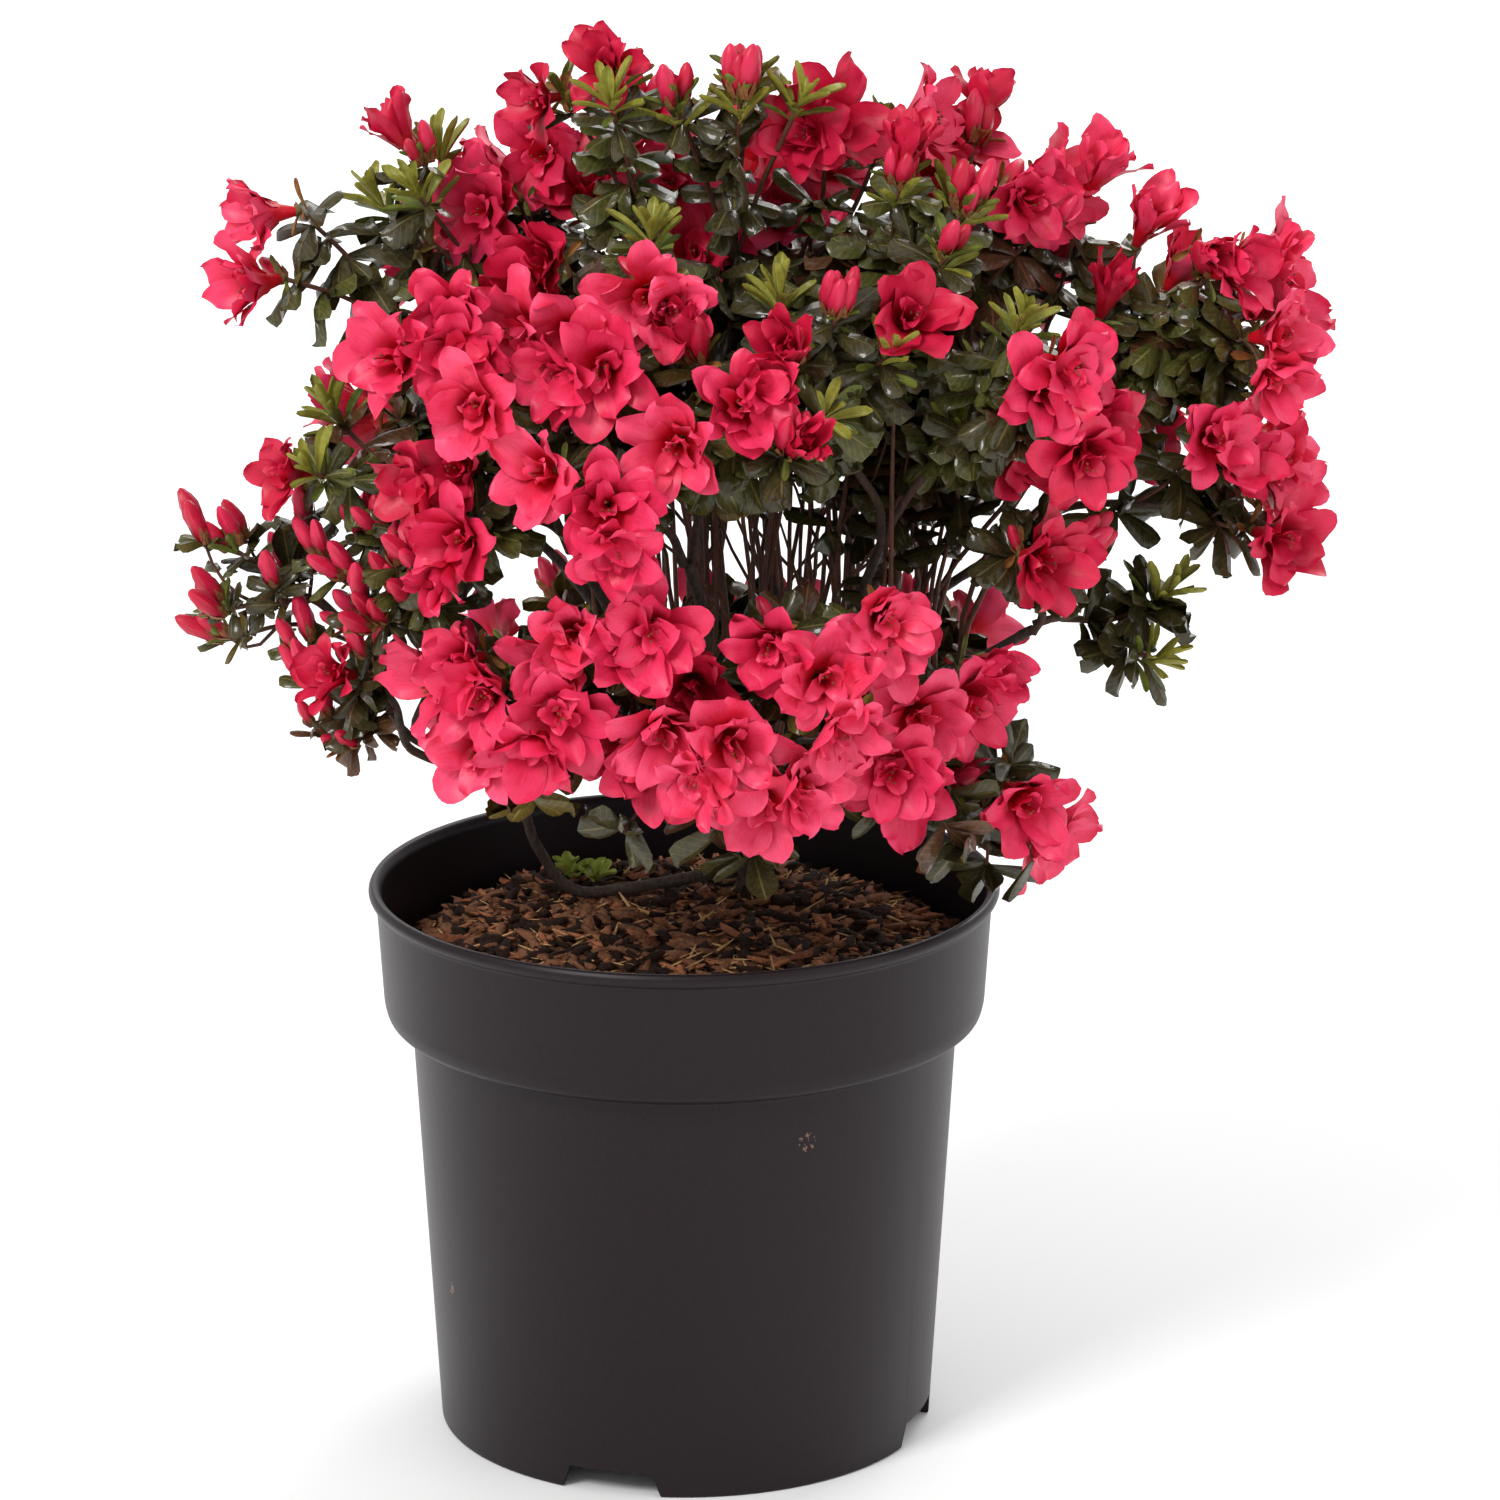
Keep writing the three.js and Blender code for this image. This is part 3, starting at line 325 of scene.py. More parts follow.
def make_flecks():
    """A shader group that lays crumbs of dried mix on a colour, within a reach of one spot."""
    group, given = make_group("flecks", "ShaderNodeTree", {
        "Colour": "Color", "Fleck colour": "Color", "Spot": "Vector", "Reach": "Float"}, {"Colour": "Color"})
    place = add_node(group, "ShaderNodeTexCoord").outputs["Object"]
    apart = add_node(group, "ShaderNodeVectorMath", {0: place, 1: given["Spot"]}, operation="DISTANCE")
    near = worked(group, "LESS_THAN", apart.outputs["Value"], given["Reach"])
    crumbs = add_node(group, "ShaderNodeTexNoise", {"Scale": 620, "Detail": 2, "Vector": place})
    kept = worked(group, "GREATER_THAN", crumbs.outputs["Fac"], 0.6)
    share = worked(group, "MULTIPLY", near, kept)
    colour = blended(group, share, given["Colour"], given["Fleck colour"])
    add_node(group, "NodeGroupOutput", {"Colour": colour})
    return group


flecks = make_flecks()
fleck_colour = srgb(122, 92, 76)
fleck_spots = [((44, -88, 134.5), 3.6), ((-86, -42, 62), 3.0), ((60, 70, 110), 3.6)]
for spot, reach in fleck_spots:
    speckled = add_node(pot_finish.node_tree, "ShaderNodeGroup", {
        "Colour": fed_to(pot_finish, "Base Color"), "Fleck colour": fleck_colour,
        "Spot": [value * mm for value in spot], "Reach": reach * mm}, node_tree=flecks)
    feed_shader(pot_finish, {"Base Color": speckled.outputs["Colour"]})
pot = add_piece("pot_shell", pot_places, [np.array(pot_quads), np.array(pot_triangles)], [pot_finish])


def notch_block(angle):
    """A tapered block that cuts one notch in the foot ring."""
    inner, outer = pot_base_radius - 12, pot_base_radius + 12
    corners = []
    for reach in (inner, outer):
        for height, half in ((-1.0, notch_width / 2), (notch_height, notch_top_width / 2)):
            for side in (-half, half):
                x = reach * math.cos(angle) - side * math.sin(angle)
                y = reach * math.sin(angle) + side * math.cos(angle)
                corners.append((x, y, height))
    faces = [(2, 3, 1, 0), (5, 7, 6, 4), (4, 6, 2, 0), (3, 7, 5, 1), (6, 7, 3, 2), (1, 5, 4, 0)]
    return corners, faces


def drain_plug(angle):
    """A round plug that cuts one drain hole in the floor."""
    x, y = drain_ring_radius * math.cos(angle), drain_ring_radius * math.sin(angle)
    low, high, sides = pot_floor_height - 3, pot_floor_height + pot_wall + 3, 20
    corners = circle(drain_radius, low, sides, x, y) + circle(drain_radius, high, sides, x, y)
    faces = [tuple(range(sides))[::-1], tuple(range(sides, 2 * sides))]
    faces += [(k, (k + 1) % sides, sides + (k + 1) % sides, sides + k) for k in range(sides)]
    return corners, faces


cutter_places = []
cutter_faces = []
blocks = [notch_block(first_notch_angle + i * 2 * math.pi / notch_count) for i in range(notch_count)]
blocks += [drain_plug(i * 2 * math.pi / drain_count) for i in range(drain_count)]
for block_corners, block_faces in blocks:
    base = len(cutter_places)
    cutter_places += [tuple(np.array(corner) * mm) for corner in block_corners]
    cutter_faces += [tuple(base + k for k in face) for face in block_faces]
cutter_mesh = bpy.data.meshes.new("pot_cutter")
cutter_mesh.from_pydata(cutter_places, [], cutter_faces)
cutter = bpy.data.objects.new("pot_cutter", cutter_mesh)
scene.collection.objects.link(cutter)


def applied(piece):
    """Turns a piece's modifiers into its mesh."""
    depsgraph = bpy.context.evaluated_depsgraph_get()
    mesh = bpy.data.meshes.new_from_object(piece.evaluated_get(depsgraph))
    piece.modifiers.clear()
    piece.data = mesh
    return piece


cut = pot.modifiers.new("cut", "BOOLEAN")
cut.operation = "DIFFERENCE"
cut.solver = "EXACT"
cut.object = cutter
applied(pot)
bpy.data.objects.remove(cutter)
pot.data.set_sharp_from_angle(angle=math.radians(38))
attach(pot, "root")
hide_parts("pot")

# ---------------------------------------------------------------- potting mix
# Dark brown mix of peat and composted bark that fills the pot to a low mound, with coarse bark
# chips and straw-like fibres lying on it. It is poured in round the root ball and settles a
# little away from the wall.

soil_plateau_height = 192.5
soil_plateau_radius = 52.0
soil_shoulder_height = 180.0
soil_shoulder_radius = 98.0
soil_edge_height = 170.0
clearance = 0.3
soil_rings = 60
soil_sides = 200
soil_outer = band_foot_radius - pot_wall - clearance


def soil_level(radius):
    """Height of the smooth mound at a distance from the middle of the pot."""
    middle = (soil_shoulder_radius + soil_plateau_radius) / 2
    radii = [0, soil_plateau_radius, middle, soil_shoulder_radius, soil_outer]
    heights = [soil_plateau_height, soil_plateau_height, soil_shoulder_height + 8,
               soil_shoulder_height, soil_edge_height]
    return float(np.interp(radius, radii, heights))


def soil_surface(x, y):
    """Height of the crumbly surface of the mix at a place."""
    coarse = noise.fractal((x * 0.05, y * 0.05, 3.0), 1.0, 2.0, 4)
    crumbs = noise.fractal((x * 0.28, y * 0.28, 9.0), 0.8, 2.1, 3)
    return soil_level(math.hypot(x, y)) - 1.0 + coarse * 2.6 + crumbs * 1.3


soil_places = []
for ring in range(1, soil_rings + 1):
    radius = soil_outer * (ring / soil_rings) ** 0.8
    soil_places += [(x, y, soil_surface(x, y)) for x, y, _ in circle(radius, 0, soil_sides)]
soil_foot = [
    (soil_outer, band_foot_height + 8),
    (under_band_radius + 3 - clearance, band_foot_height + 2.4 + clearance),
    (under_band_radius - pot_wall - clearance, band_foot_height + 1),
    (pot_base_radius - foot_ease - clearance, pot_floor_height + pot_wall + clearance),
]
for radius, height in soil_foot:
    soil_places += circle(radius, height, soil_sides)
soil_quads = []
for ring in range(soil_rings + len(soil_foot) - 1):
    for k in range(soil_sides):
        n = (k + 1) % soil_sides
        a, b = ring * soil_sides, (ring + 1) * soil_sides
        soil_quads.append((a + k, b + k, b + n, a + n))
soil_top = len(soil_places)
soil_places.append((0, 0, soil_surface(0, 0)))
soil_places.append((0, 0, pot_floor_height + pot_wall + clearance))
soil_last = (soil_rings + len(soil_foot) - 1) * soil_sides
soil_triangles = [(soil_top, k, (k + 1) % soil_sides) for k in range(soil_sides)]
soil_triangles += [(soil_top + 1, soil_last + (k + 1) % soil_sides, soil_last + k) for k in range(soil_sides)]

mix_finish = mottled_finish(
    "peat_mix", (36, 21, 15), (86, 52, 35), (146, 98, 66), coarse=55, fine=420, roughness=0.95, bump=0.9,
    depth=0.0016, specular=0.1,
)
soil = add_piece("potting_mix", soil_places, [np.array(soil_quads), np.array(soil_triangles)], [mix_finish])


def instances_over(name, ground, shape, finish, count, scale_range, seed, tilt, lift, inside):
    """Scatters a shape over the upper side of a ground mesh with Geometry Nodes, as one plain mesh."""
    tree, given = make_group(name, "GeometryNodeTree", {
        "Geometry": "Geometry", "Shape": "Object", "Density": "Float", "Least size": "Float",
        "Most size": "Float", "Tilt": "Float", "Lift": "Float", "Inside": "Float", "Seed": "Int",
    }, {"Geometry": "Geometry"})
    normal = add_node(tree, "GeometryNodeInputNormal").outputs[0]
    facing = add_node(tree, "ShaderNodeSeparateXYZ", {0: normal})
    place = add_node(tree, "GeometryNodeInputPosition").outputs[0]
    flat = add_node(tree, "ShaderNodeVectorMath", {0: place, 1: (1, 1, 0)}, operation="MULTIPLY")
    reach = add_node(tree, "ShaderNodeVectorMath", {0: flat.outputs[0]}, operation="LENGTH")
    upward = add_node(tree, "FunctionNodeCompare", {"A": facing.outputs["Z"], "B": 0.2},
                      data_type="FLOAT", operation="GREATER_THAN")
    near = add_node(tree, "FunctionNodeCompare", {"A": reach.outputs["Value"], "B": given["Inside"]},
                    data_type="FLOAT", operation="LESS_THAN")
    both = add_node(tree, "FunctionNodeBooleanMath", {
        0: upward.outputs["Result"], 1: near.outputs["Result"]}, operation="AND")
    strewn = add_node(tree, "GeometryNodeDistributePointsOnFaces", {
        "Mesh": given["Geometry"], "Selection": both.outputs[0], "Density": given["Density"],
        "Seed": given["Seed"]})
    minus = worked(tree, "MULTIPLY", given["Tilt"], -1)
    least = add_node(tree, "ShaderNodeCombineXYZ", {"X": minus, "Y": minus})
    most = add_node(tree, "ShaderNodeCombineXYZ", {"X": given["Tilt"], "Y": given["Tilt"], "Z": 2 * math.pi})
    turned = add_node(tree, "FunctionNodeRandomValue", {
        "Seed": given["Seed"], "Min": least.outputs[0], "Max": most.outputs[0]}, data_type="FLOAT_VECTOR")
    sized = add_node(tree, "FunctionNodeRandomValue", {"Seed": given["Seed"]}, data_type="FLOAT")
    float_least, float_most = (socket for socket in sized.inputs if socket.type == "VALUE" and
                               socket.name in ("Min", "Max"))
    tree.links.new(given["Least size"], float_least)
    tree.links.new(given["Most size"], float_most)
    shape_info = add_node(tree, "GeometryNodeObjectInfo", {"Object": given["Shape"]})
    raised = add_node(tree, "ShaderNodeCombineXYZ", {"Z": given["Lift"]})
    lifted = add_node(tree, "GeometryNodeSetPosition", {
        "Geometry": strewn.outputs["Points"], "Offset": raised.outputs[0]})
    placed = add_node(tree, "GeometryNodeInstanceOnPoints", {
        "Points": lifted.outputs["Geometry"], "Instance": shape_info.outputs["Geometry"],
        "Rotation": next(s for s in turned.outputs if s.type == "VECTOR"),
        "Scale": next(s for s in sized.outputs if s.type == "VALUE")})
    real = add_node(tree, "GeometryNodeRealizeInstances", {"Geometry": placed.outputs["Instances"]})
    finished = add_node(tree, "GeometryNodeSetMaterial", {
        "Material": finish, "Geometry": real.outputs["Geometry"]})
    add_node(tree, "NodeGroupOutput", {0: finished.outputs["Geometry"]})

    piece = bpy.data.objects.new(name, ground.data.copy())
    scene.collection.objects.link(piece)
    scatter = piece.modifiers.new("scatter", "NODES")
    scatter.node_group = tree
    area = math.pi * (inside * mm) ** 2
    values = {"Shape": shape, "Density": count / area, "Least size": scale_range[0],
              "Most size": scale_range[1], "Tilt": tilt, "Lift": lift * mm, "Inside": inside * mm,
              "Seed": seed}
    for socket in tree.interface.items_tree:
        if socket.name in values:
            scatter[socket.identifier] = values[socket.name]
    applied(piece)
    bpy.data.objects.remove(shape)
    return piece


def chip_shape(name, length, width, thickness, seed):
    """A rough splinter of bark: a block with uneven ends and corners."""
    random = np.random.default_rng(seed)
    places = []
    for x, share in ((-0.5, 0.55), (-0.18, 0.95), (0.2, 1.0), (0.5, 0.45)):
        for y, z in ((-0.5, -0.5), (0.5, -0.5), (0.5, 0.5), (-0.5, 0.5)):
            wobble = random.uniform(-0.14, 0.14, 3)
            place = (x + wobble[0] * 0.6, y * share + wobble[1], z * share + wobble[2])
            places.append((place[0] * length, place[1] * width, place[2] * thickness))
    faces = [(0, 3, 2, 1), (12, 13, 14, 15)]
    for ring in range(3):
        for k in range(4):
            a, b = ring * 4 + k, ring * 4 + (k + 1) % 4
            faces.append((a, b, b + 4, a + 4))
    return add_piece(name, places, [np.array(faces)], [])


# Each kind: its three colours, its length, width and thickness, how many lie on the mix, and the
# range of their sizes.
chip_kinds = {
    "chips_black": ((20, 12, 9), (34, 21, 16), (62, 40, 30), (13, 4.6, 3.0), 820, (0.3, 1.1)),
    "chips_umber": ((80, 49, 35), (117, 76, 54), (156, 107, 76), (11, 3.6, 2.2), 900, (0.3, 1.15)),
    "chips_russet": ((122, 69, 47), (160, 98, 68), (194, 132, 94), (11, 3.0, 1.5), 520, (0.25, 1.15)),
    "chips_straw": ((170, 124, 76), (200, 156, 102), (226, 190, 138), (15, 0.9, 0.6), 620, (0.25, 1.1)),
}
for order, (kind, (dark, middle, light, extent, count, sizes)) in enumerate(chip_kinds.items()):
    finish = mottled_finish(kind, dark, middle, light, coarse=140, fine=700, roughness=0.9, bump=0.6,
                            depth=0.0005, specular=0.15)
    shape = chip_shape(f"{kind}_shape", *extent, seed=5 + order)
    chips = instances_over(kind, soil, shape, finish, count, sizes, seed=31 + order, tilt=0.5, lift=0.6,
                           inside=soil_shoulder_radius + 3)
    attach(chips, "root")
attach(soil, "root")
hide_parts("soil")

# ---------------------------------------------------------------- trunk and boughs
# A short dark trunk that flares at its foot and forks at once into four arms, which carry
# fifteen slender tapering boughs; a sixteenth leaves the foot and lies along the mix. Live wood
# under thin grey-brown bark, with shallow cracks and the rings of old leaf scars.

trunk_foot = np.array([26, 28, soil_plateau_height + clearance])
trunk_fork = np.array([24.0, 23.0, 214.0])
trunk_foot_radius = 8.6
trunk_radius = 6.2
root_flare = 0.16
arm_length = 22.0
arm_rise = math.radians(56)
arm_radius = 4.3
knuckle_radius = 5.6
arms = {"front_left": 214, "front_right": 322, "back_left": 132, "back_right": 42}
bough_foot_radius = 2.3
bough_tip_radius = 1.7
handle_share = 0.36
up = np.array([0.0, 0.0, 1.0])
word_mask = 0xFFFFFFFF

# Each bough: the arm that carries it, its tip, and how far it leans outward there.
boughs = {
    "left_low": ("front_left", (-88, -22, 258), 0.75),
    "left_high": ("front_left", (-62, -14, 345), 0.5),
    "left_front": ("front_left", (-38, -52, 342), 0.4),
    "front": ("front_left", (2, -58, 338), 0.3),
    "right_front": ("front_right", (70, -52, 345), 0.35),
    "front_low": ("front_right", (12, -66, 262), 0.6),
    "front_right_low": ("front_right", (72, -48, 250), 0.7),
    "right_arch": ("front_right", (124, -34, 308), 0.6),
    "left_back": ("back_left", (-38, 52, 342), 0.35),
    "centre": ("back_left", (6, 2, 368), 0.05),
    "back_low": ("back_left", (8, 96, 258), 0.7),
    "back": ("back_right", (30, 62, 344), 0.3),
    "right": ("back_right", (80, -2, 352), 0.3),
    "right_high": ("back_right", (126, 6, 338), 0.55),
    "right_back": ("back_right", (88, 66, 330), 0.5),
}


def seeded_numbers(seed):
    """A stream of numbers from 0 to 1 that depends on its seed alone."""
    state = seed

    def draw():
        nonlocal state
        state = (state + 0x6D2B79F5) & word_mask
        word = ((state ^ (state >> 15)) * (state | 1)) & word_mask
        word ^= (word + (((word ^ (word >> 7)) * (word | 61)) & word_mask)) & word_mask
        return ((word ^ (word >> 14)) & word_mask) / 4294967296

    return draw


def spread_of(random, size):
    """A number from -size to size."""
    return (random() * 2 - 1) * size


def unit(vector):
    """A vector's direction."""
    return vector / np.linalg.norm(vector)


def sideways(direction):
    """Two directions square to a third, the first of them level."""
    level = np.cross(up, direction)
    if np.linalg.norm(level) < 1e-6:
        level = np.array([1.0, 0.0, 0.0])
    level = unit(level)
    return level, unit(np.cross(direction, level))


def spoke(direction, angle):
    """A direction square to another one, at an angle round it."""
    level, rising = sideways(direction)
    return level * math.cos(angle) + rising * math.sin(angle)


def route_of(start, end, leave, arrive, steps, jog, sway, random):
    """The points of a limb: a smooth curve between two places and directions, with small jogs."""
    reach = np.linalg.norm(end - start)
    aside = np.array([spread_of(random, sway) for _ in range(3)])
    first = start + leave * reach * handle_share + aside
    second = end - arrive * reach * handle_share + aside
    points = []
    for i in range(steps + 1):
        t = i / steps
        k = 1 - t
        points.append(k ** 3 * start + 3 * k * k * t * first + 3 * k * t * t * second + t ** 3 * end)
    for i in range(1, steps):
        points[i] = points[i] + np.array([spread_of(random, jog), spread_of(random, jog),
                                          spread_of(random, jog * 0.5)])
    return np.array(points)


limbs = []


def keep_limb(node, points, radius):
    """Remembers a limb's stretches, so that later limbs can keep clear of it."""
    for foot, tip in zip(points[:-1], points[1:]):
        limbs.append((node, foot, tip, radius))


def route_is_clear(points, radius, own, carrier):
    """Whether a route stays clear of the limbs so far, apart from where it stands on its carrier."""
    nodes = np.array([limb[0] for limb in limbs])
    feet = np.array([limb[1] for limb in limbs])
    tips = np.array([limb[2] for limb in limbs])
    least = np.array([limb[3] for limb in limbs]) + radius + clearance
    for i, (a, b) in enumerate(zip(points[:-1], points[1:])):
        counted = nodes != own
        if i == 0 and carrier:
            counted &= nodes != carrier
        ab, cd, ca = b - a, tips - feet, a - feet
        abab, abcd, cdcd = ab @ ab, cd @ ab, (cd * cd).sum(1)
        spread = abab * cdcd - abcd * abcd
        safe = np.where(spread > 1e-9, spread, 1)
        s = np.where(spread > 1e-9, np.clip((abcd * (cd * ca).sum(1) - cdcd * (ca @ ab)) / safe, 0, 1), 0)
        t = np.clip((abcd * s + (cd * ca).sum(1)) / cdcd, 0, 1)
        s = np.clip((abcd * t - ca @ ab) / abab, 0, 1)
        apart = np.linalg.norm(a + ab * s[:, None] - feet - cd * t[:, None], axis=1)
        if (counted & (apart < least)).any():
            return False
    return True


def feet_on(end, direction, count, radius):
    """Feet of several limbs side by side on the cut end of the limb that carries them."""
    if count == 1:
        return [end + direction * clearance]
    level, rising = sideways(direction)
    ring = (radius + clearance / 2) * 1.06 / math.sin(math.pi / count)
    angles = [(i + 0.25) / count * 2 * math.pi for i in range(count)]
    return [end + direction * clearance + level * math.cos(a) * ring + rising * math.sin(a) * ring
            for a in angles]


def share_feet(feet, targets):
    """Gives each target the nearest free foot, in the order of the targets."""
    free = list(feet)
    shared = []
    for target in targets:
        free.sort(key=lambda foot: np.linalg.norm(foot - target))
        shared.append(free.pop(0))
    return shared


def smoothed(points, per_stretch):
    """More points through the same ones, on a smooth curve."""
    rows = np.vstack([2 * points[0] - points[1], points, 2 * points[-1] - points[-2]])
    fine = []
    for i in range(1, len(rows) - 2):
        p, q, r, s = rows[i - 1:i + 3]
        for k in range(per_stretch):
            t = k / per_stretch
            fine.append(0.5 * (2 * q + (r - p) * t + (2 * p - 5 * q + 4 * r - s) * t * t
                               + (3 * q - p - 3 * r + s) * t ** 3))
    fine.append(points[-1])
    return np.array(fine)


class Growth:
    """Places, faces and texture coordinates that are gathered into one joined mesh."""

    def __init__(self):
        self.places, self.uv = [], []
        self.faces, self.slots = {4: [], 3: []}, {4: [], 3: []}
        self.count = 0

    def add(self, places, faces, uv, slots=0):
        """Adds one shape: its places, its faces of four and of three corners, and their finishes."""
        for group in faces:
            group = np.asarray(group)
            self.faces[group.shape[1]].append(group + self.count)
            self.slots[group.shape[1]].append(np.broadcast_to(slots, len(group)))
        self.places.append(places)
        self.uv.append(uv)
        self.count += len(places)

    def add_copies(self, shape, spots, frames, sizes, tones=0):
        """Adds a shape once for each spot, turned by its frame, sized, and in its tone of finish."""
        count, corners = len(spots), len(shape["places"])
        sized = shape["places"][None] * np.asarray(sizes, dtype=float).reshape(count, 1, -1)
        places = np.einsum("mni,mij->mnj", sized, frames) + np.asarray(spots)[:, None]
        offsets = (np.arange(count) * corners)[:, None, None]
        faces = (shape["faces"][None] + offsets).reshape(-1, 4)
        tones = np.broadcast_to(tones, count)
        slots = (shape["slots"][None] + tones[:, None] * shape["toned"][None]).ravel()
        self.add(places.reshape(-1, 3), [faces], np.tile(shape["uv"], (count, 1)), slots)

    def piece(self, name, finishes):
        """The joined mesh piece."""
        groups = [np.vstack(self.faces[corners]) for corners in (4, 3) if self.faces[corners]]
        slots = np.concatenate([np.concatenate(self.slots[corners]) for corners in (4, 3)
                                if self.slots[corners]])
        piece = add_piece(name, np.vstack(self.places), groups, finishes, face_finishes=slots,
                          face_uv=np.vstack(self.uv))
        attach(piece, "root")
        return piece


def add_limb(growth, points, radii, sides, relief, seed, lobes=0.0):
    """A closed limb with bark relief: cracks along it, low rings where leaves have been, knots."""
    random = np.random.default_rng(seed)
    tangents = np.gradient(points, axis=0)
    tangents /= np.linalg.norm(tangents, axis=1)[:, None]
    across, _ = sideways(tangents[0])
    lengths = np.concatenate([[0], np.cumsum(np.linalg.norm(np.diff(points, axis=0), axis=1))])
    angles = np.arange(sides) / sides * 2 * math.pi
    cracks = random.normal(0, 1, sides)
    places, uv = [], []
    for i, (point, tangent) in enumerate(zip(points, tangents)):
        across = unit(across - tangent * (across @ tangent))
        upright = np.cross(tangent, across)
        cracks = cracks * 0.72 + random.normal(0, 0.69, sides)
        ring = 1 + random.normal(0, 0.5) * relief
        swell = ring + relief * cracks
        swell = swell + lobes * math.exp(-lengths[i] / 5) * np.cos(3 * angles)
        spokes = np.outer(np.cos(angles), across) + np.outer(np.sin(angles), upright)
        places.append(point + spokes * (radii[i] * swell)[:, None])
        uv.append(np.column_stack([np.arange(sides) / sides, np.full(sides, lengths[i] / 40)]))
    count = len(points)
    start = np.arange(count - 1)[:, None] * sides
    here = start + np.arange(sides)[None]
    there = start + (np.arange(sides)[None] + 1) % sides
    quads = np.stack([here, there, there + sides, here + sides], axis=2).reshape(-1, 4)
    middle, last = count * sides, (count - 1) * sides
    caps = [(middle, (k + 1) % sides, k) for k in range(sides)]
    caps += [(middle + 1, last + k, last + (k + 1) % sides) for k in range(sides)]
    ends = np.array([points[0], points[-1] + tangents[-1] * radii[-1] * 0.5])
    growth.add(np.vstack(places + [ends]), [quads, caps], np.vstack(uv + [uv[0][:1], uv[-1][:1]]))


def tapered(first, last, count):
    """Evenly falling radii."""
    return np.linspace(first, last, count)


def along(points, share):
    """A point at a share of a route's length, with the direction there."""
    spot = min(share * (len(points) - 1), len(points) - 1 - 1e-6)
    i = int(spot)
    return points[i] + (points[i + 1] - points[i]) * (spot - i), unit(points[i + 1] - points[i])


limb_growth = Growth()
trunk_levels = np.array([0, 0.14, 0.36, 0.68, 1.1])
trunk_points = trunk_foot + np.outer(trunk_levels, trunk_fork - trunk_foot)
trunk_radii = np.array([trunk_foot_radius] + [trunk_radius * share for share in (1.16, 1, 0.98, 0.9)])
keep_limb("trunk", trunk_points, trunk_foot_radius * (1 + root_flare))
trunk_fine = smoothed(trunk_points, 6)
trunk_fine_radii = np.interp(np.linspace(0, 4, len(trunk_fine)), range(5), trunk_radii)
trunk_fine = np.vstack([trunk_fine[:1] - up * 6, trunk_fine])
trunk_fine_radii = np.concatenate([[trunk_foot_radius * 1.08], trunk_fine_radii])
add_limb(limb_growth, trunk_fine, trunk_fine_radii, 30, 0.05, seed=3, lobes=root_flare)

trunk_random = seeded_numbers(11)
knuckles = {}
for arm, degrees in arms.items():
    turn = math.radians(degrees)
    arrive = np.array([math.cos(turn) * math.cos(arm_rise), math.sin(turn) * math.cos(arm_rise),
                       math.sin(arm_rise)])
    end = trunk_fork + arrive * arm_length
    points = route_of(trunk_fork, end, arrive, arrive, 4, 0.5, 0, trunk_random)
    keep_limb(f"arm_{arm}", points, knuckle_radius)
    knuckles[arm] = (end, arrive)
    radii = np.array([arm_radius, arm_radius, arm_radius * 0.94, knuckle_radius * 0.9, knuckle_radius])
    fine = smoothed(points, 5)
    add_limb(limb_growth, fine, np.interp(np.linspace(0, 4, len(fine)), range(5), radii), 22, 0.06,
             seed=int(degrees))

bough_ends = {}
bough_routes = {}
low_random = seeded_numbers(17)
lying = soil_plateau_height + bough_foot_radius + 0.6
low_foot = np.array([trunk_foot[0] - trunk_radius - 1.3, trunk_foot[1] - 1.5, lying + 4])
low_rest = np.array([-33, 14, lying])
low_tip = np.array([-60, -4, lying + 42])
low_level = unit(np.array([low_rest[0] - low_foot[0], low_rest[1] - low_foot[1], 0]))
low_arrive = unit(np.array([-0.35, -0.4, 0.85]))
low_start = route_of(low_foot, low_rest, low_level, low_level, 4, 0.4, 0, low_random)
low_rise = route_of(low_rest, low_tip, low_level, low_arrive, 6, 0.8, 0, low_random)
bough_routes["low_side"] = np.vstack([low_start, low_rise[1:]])
keep_limb("bough_low_side", bough_routes["low_side"], bough_foot_radius)
bough_ends["low_side"] = (low_tip, low_arrive)

bough_random = seeded_numbers(23)
for arm, (knuckle, direction) in knuckles.items():
    names = [name for name, row in boughs.items() if row[0] == arm]
    targets = [np.array(boughs[name][1], dtype=float) for name in names]
    feet = share_feet(feet_on(knuckle, direction, len(names), bough_foot_radius), targets)
    for name, foot, tip in zip(names, feet, targets):
        outward = unit(np.array([tip[0] - trunk_fork[0], tip[1] - trunk_fork[1], 0]))
        arrive = unit(up + (outward - up) * boughs[name][2])
        for attempt in range(20):
            points = route_of(foot, tip, direction, arrive, 6, 1.2, attempt * 1.5, bough_random)
            if route_is_clear(points, bough_foot_radius, "", f"arm_{arm}"):
                break
        keep_limb(f"bough_{name}", points, bough_foot_radius)
        bough_routes[name] = points
        bough_ends[name] = (tip, arrive)

for order, (name, points) in enumerate(bough_routes.items()):
    fine = smoothed(points, 9)
    add_limb(limb_growth, fine, tapered(bough_foot_radius, bough_tip_radius, len(fine)), 14, 0.07,
             seed=40 + order)


def drawn_noise(tree, scale, detail):
    """Noise on a piece's texture coordinates, at one scale across the piece and another along it."""
    shape = add_node(tree, "ShaderNodeUVMap", uv_map="shape")
    drawn = add_node(tree, "ShaderNodeMapping", {"Scale": scale, "Vector": shape.outputs[0]})
    return add_node(tree, "ShaderNodeTexNoise", {
        "Scale": 1, "Detail": detail, "Vector": drawn.outputs[0]}).outputs["Fac"]


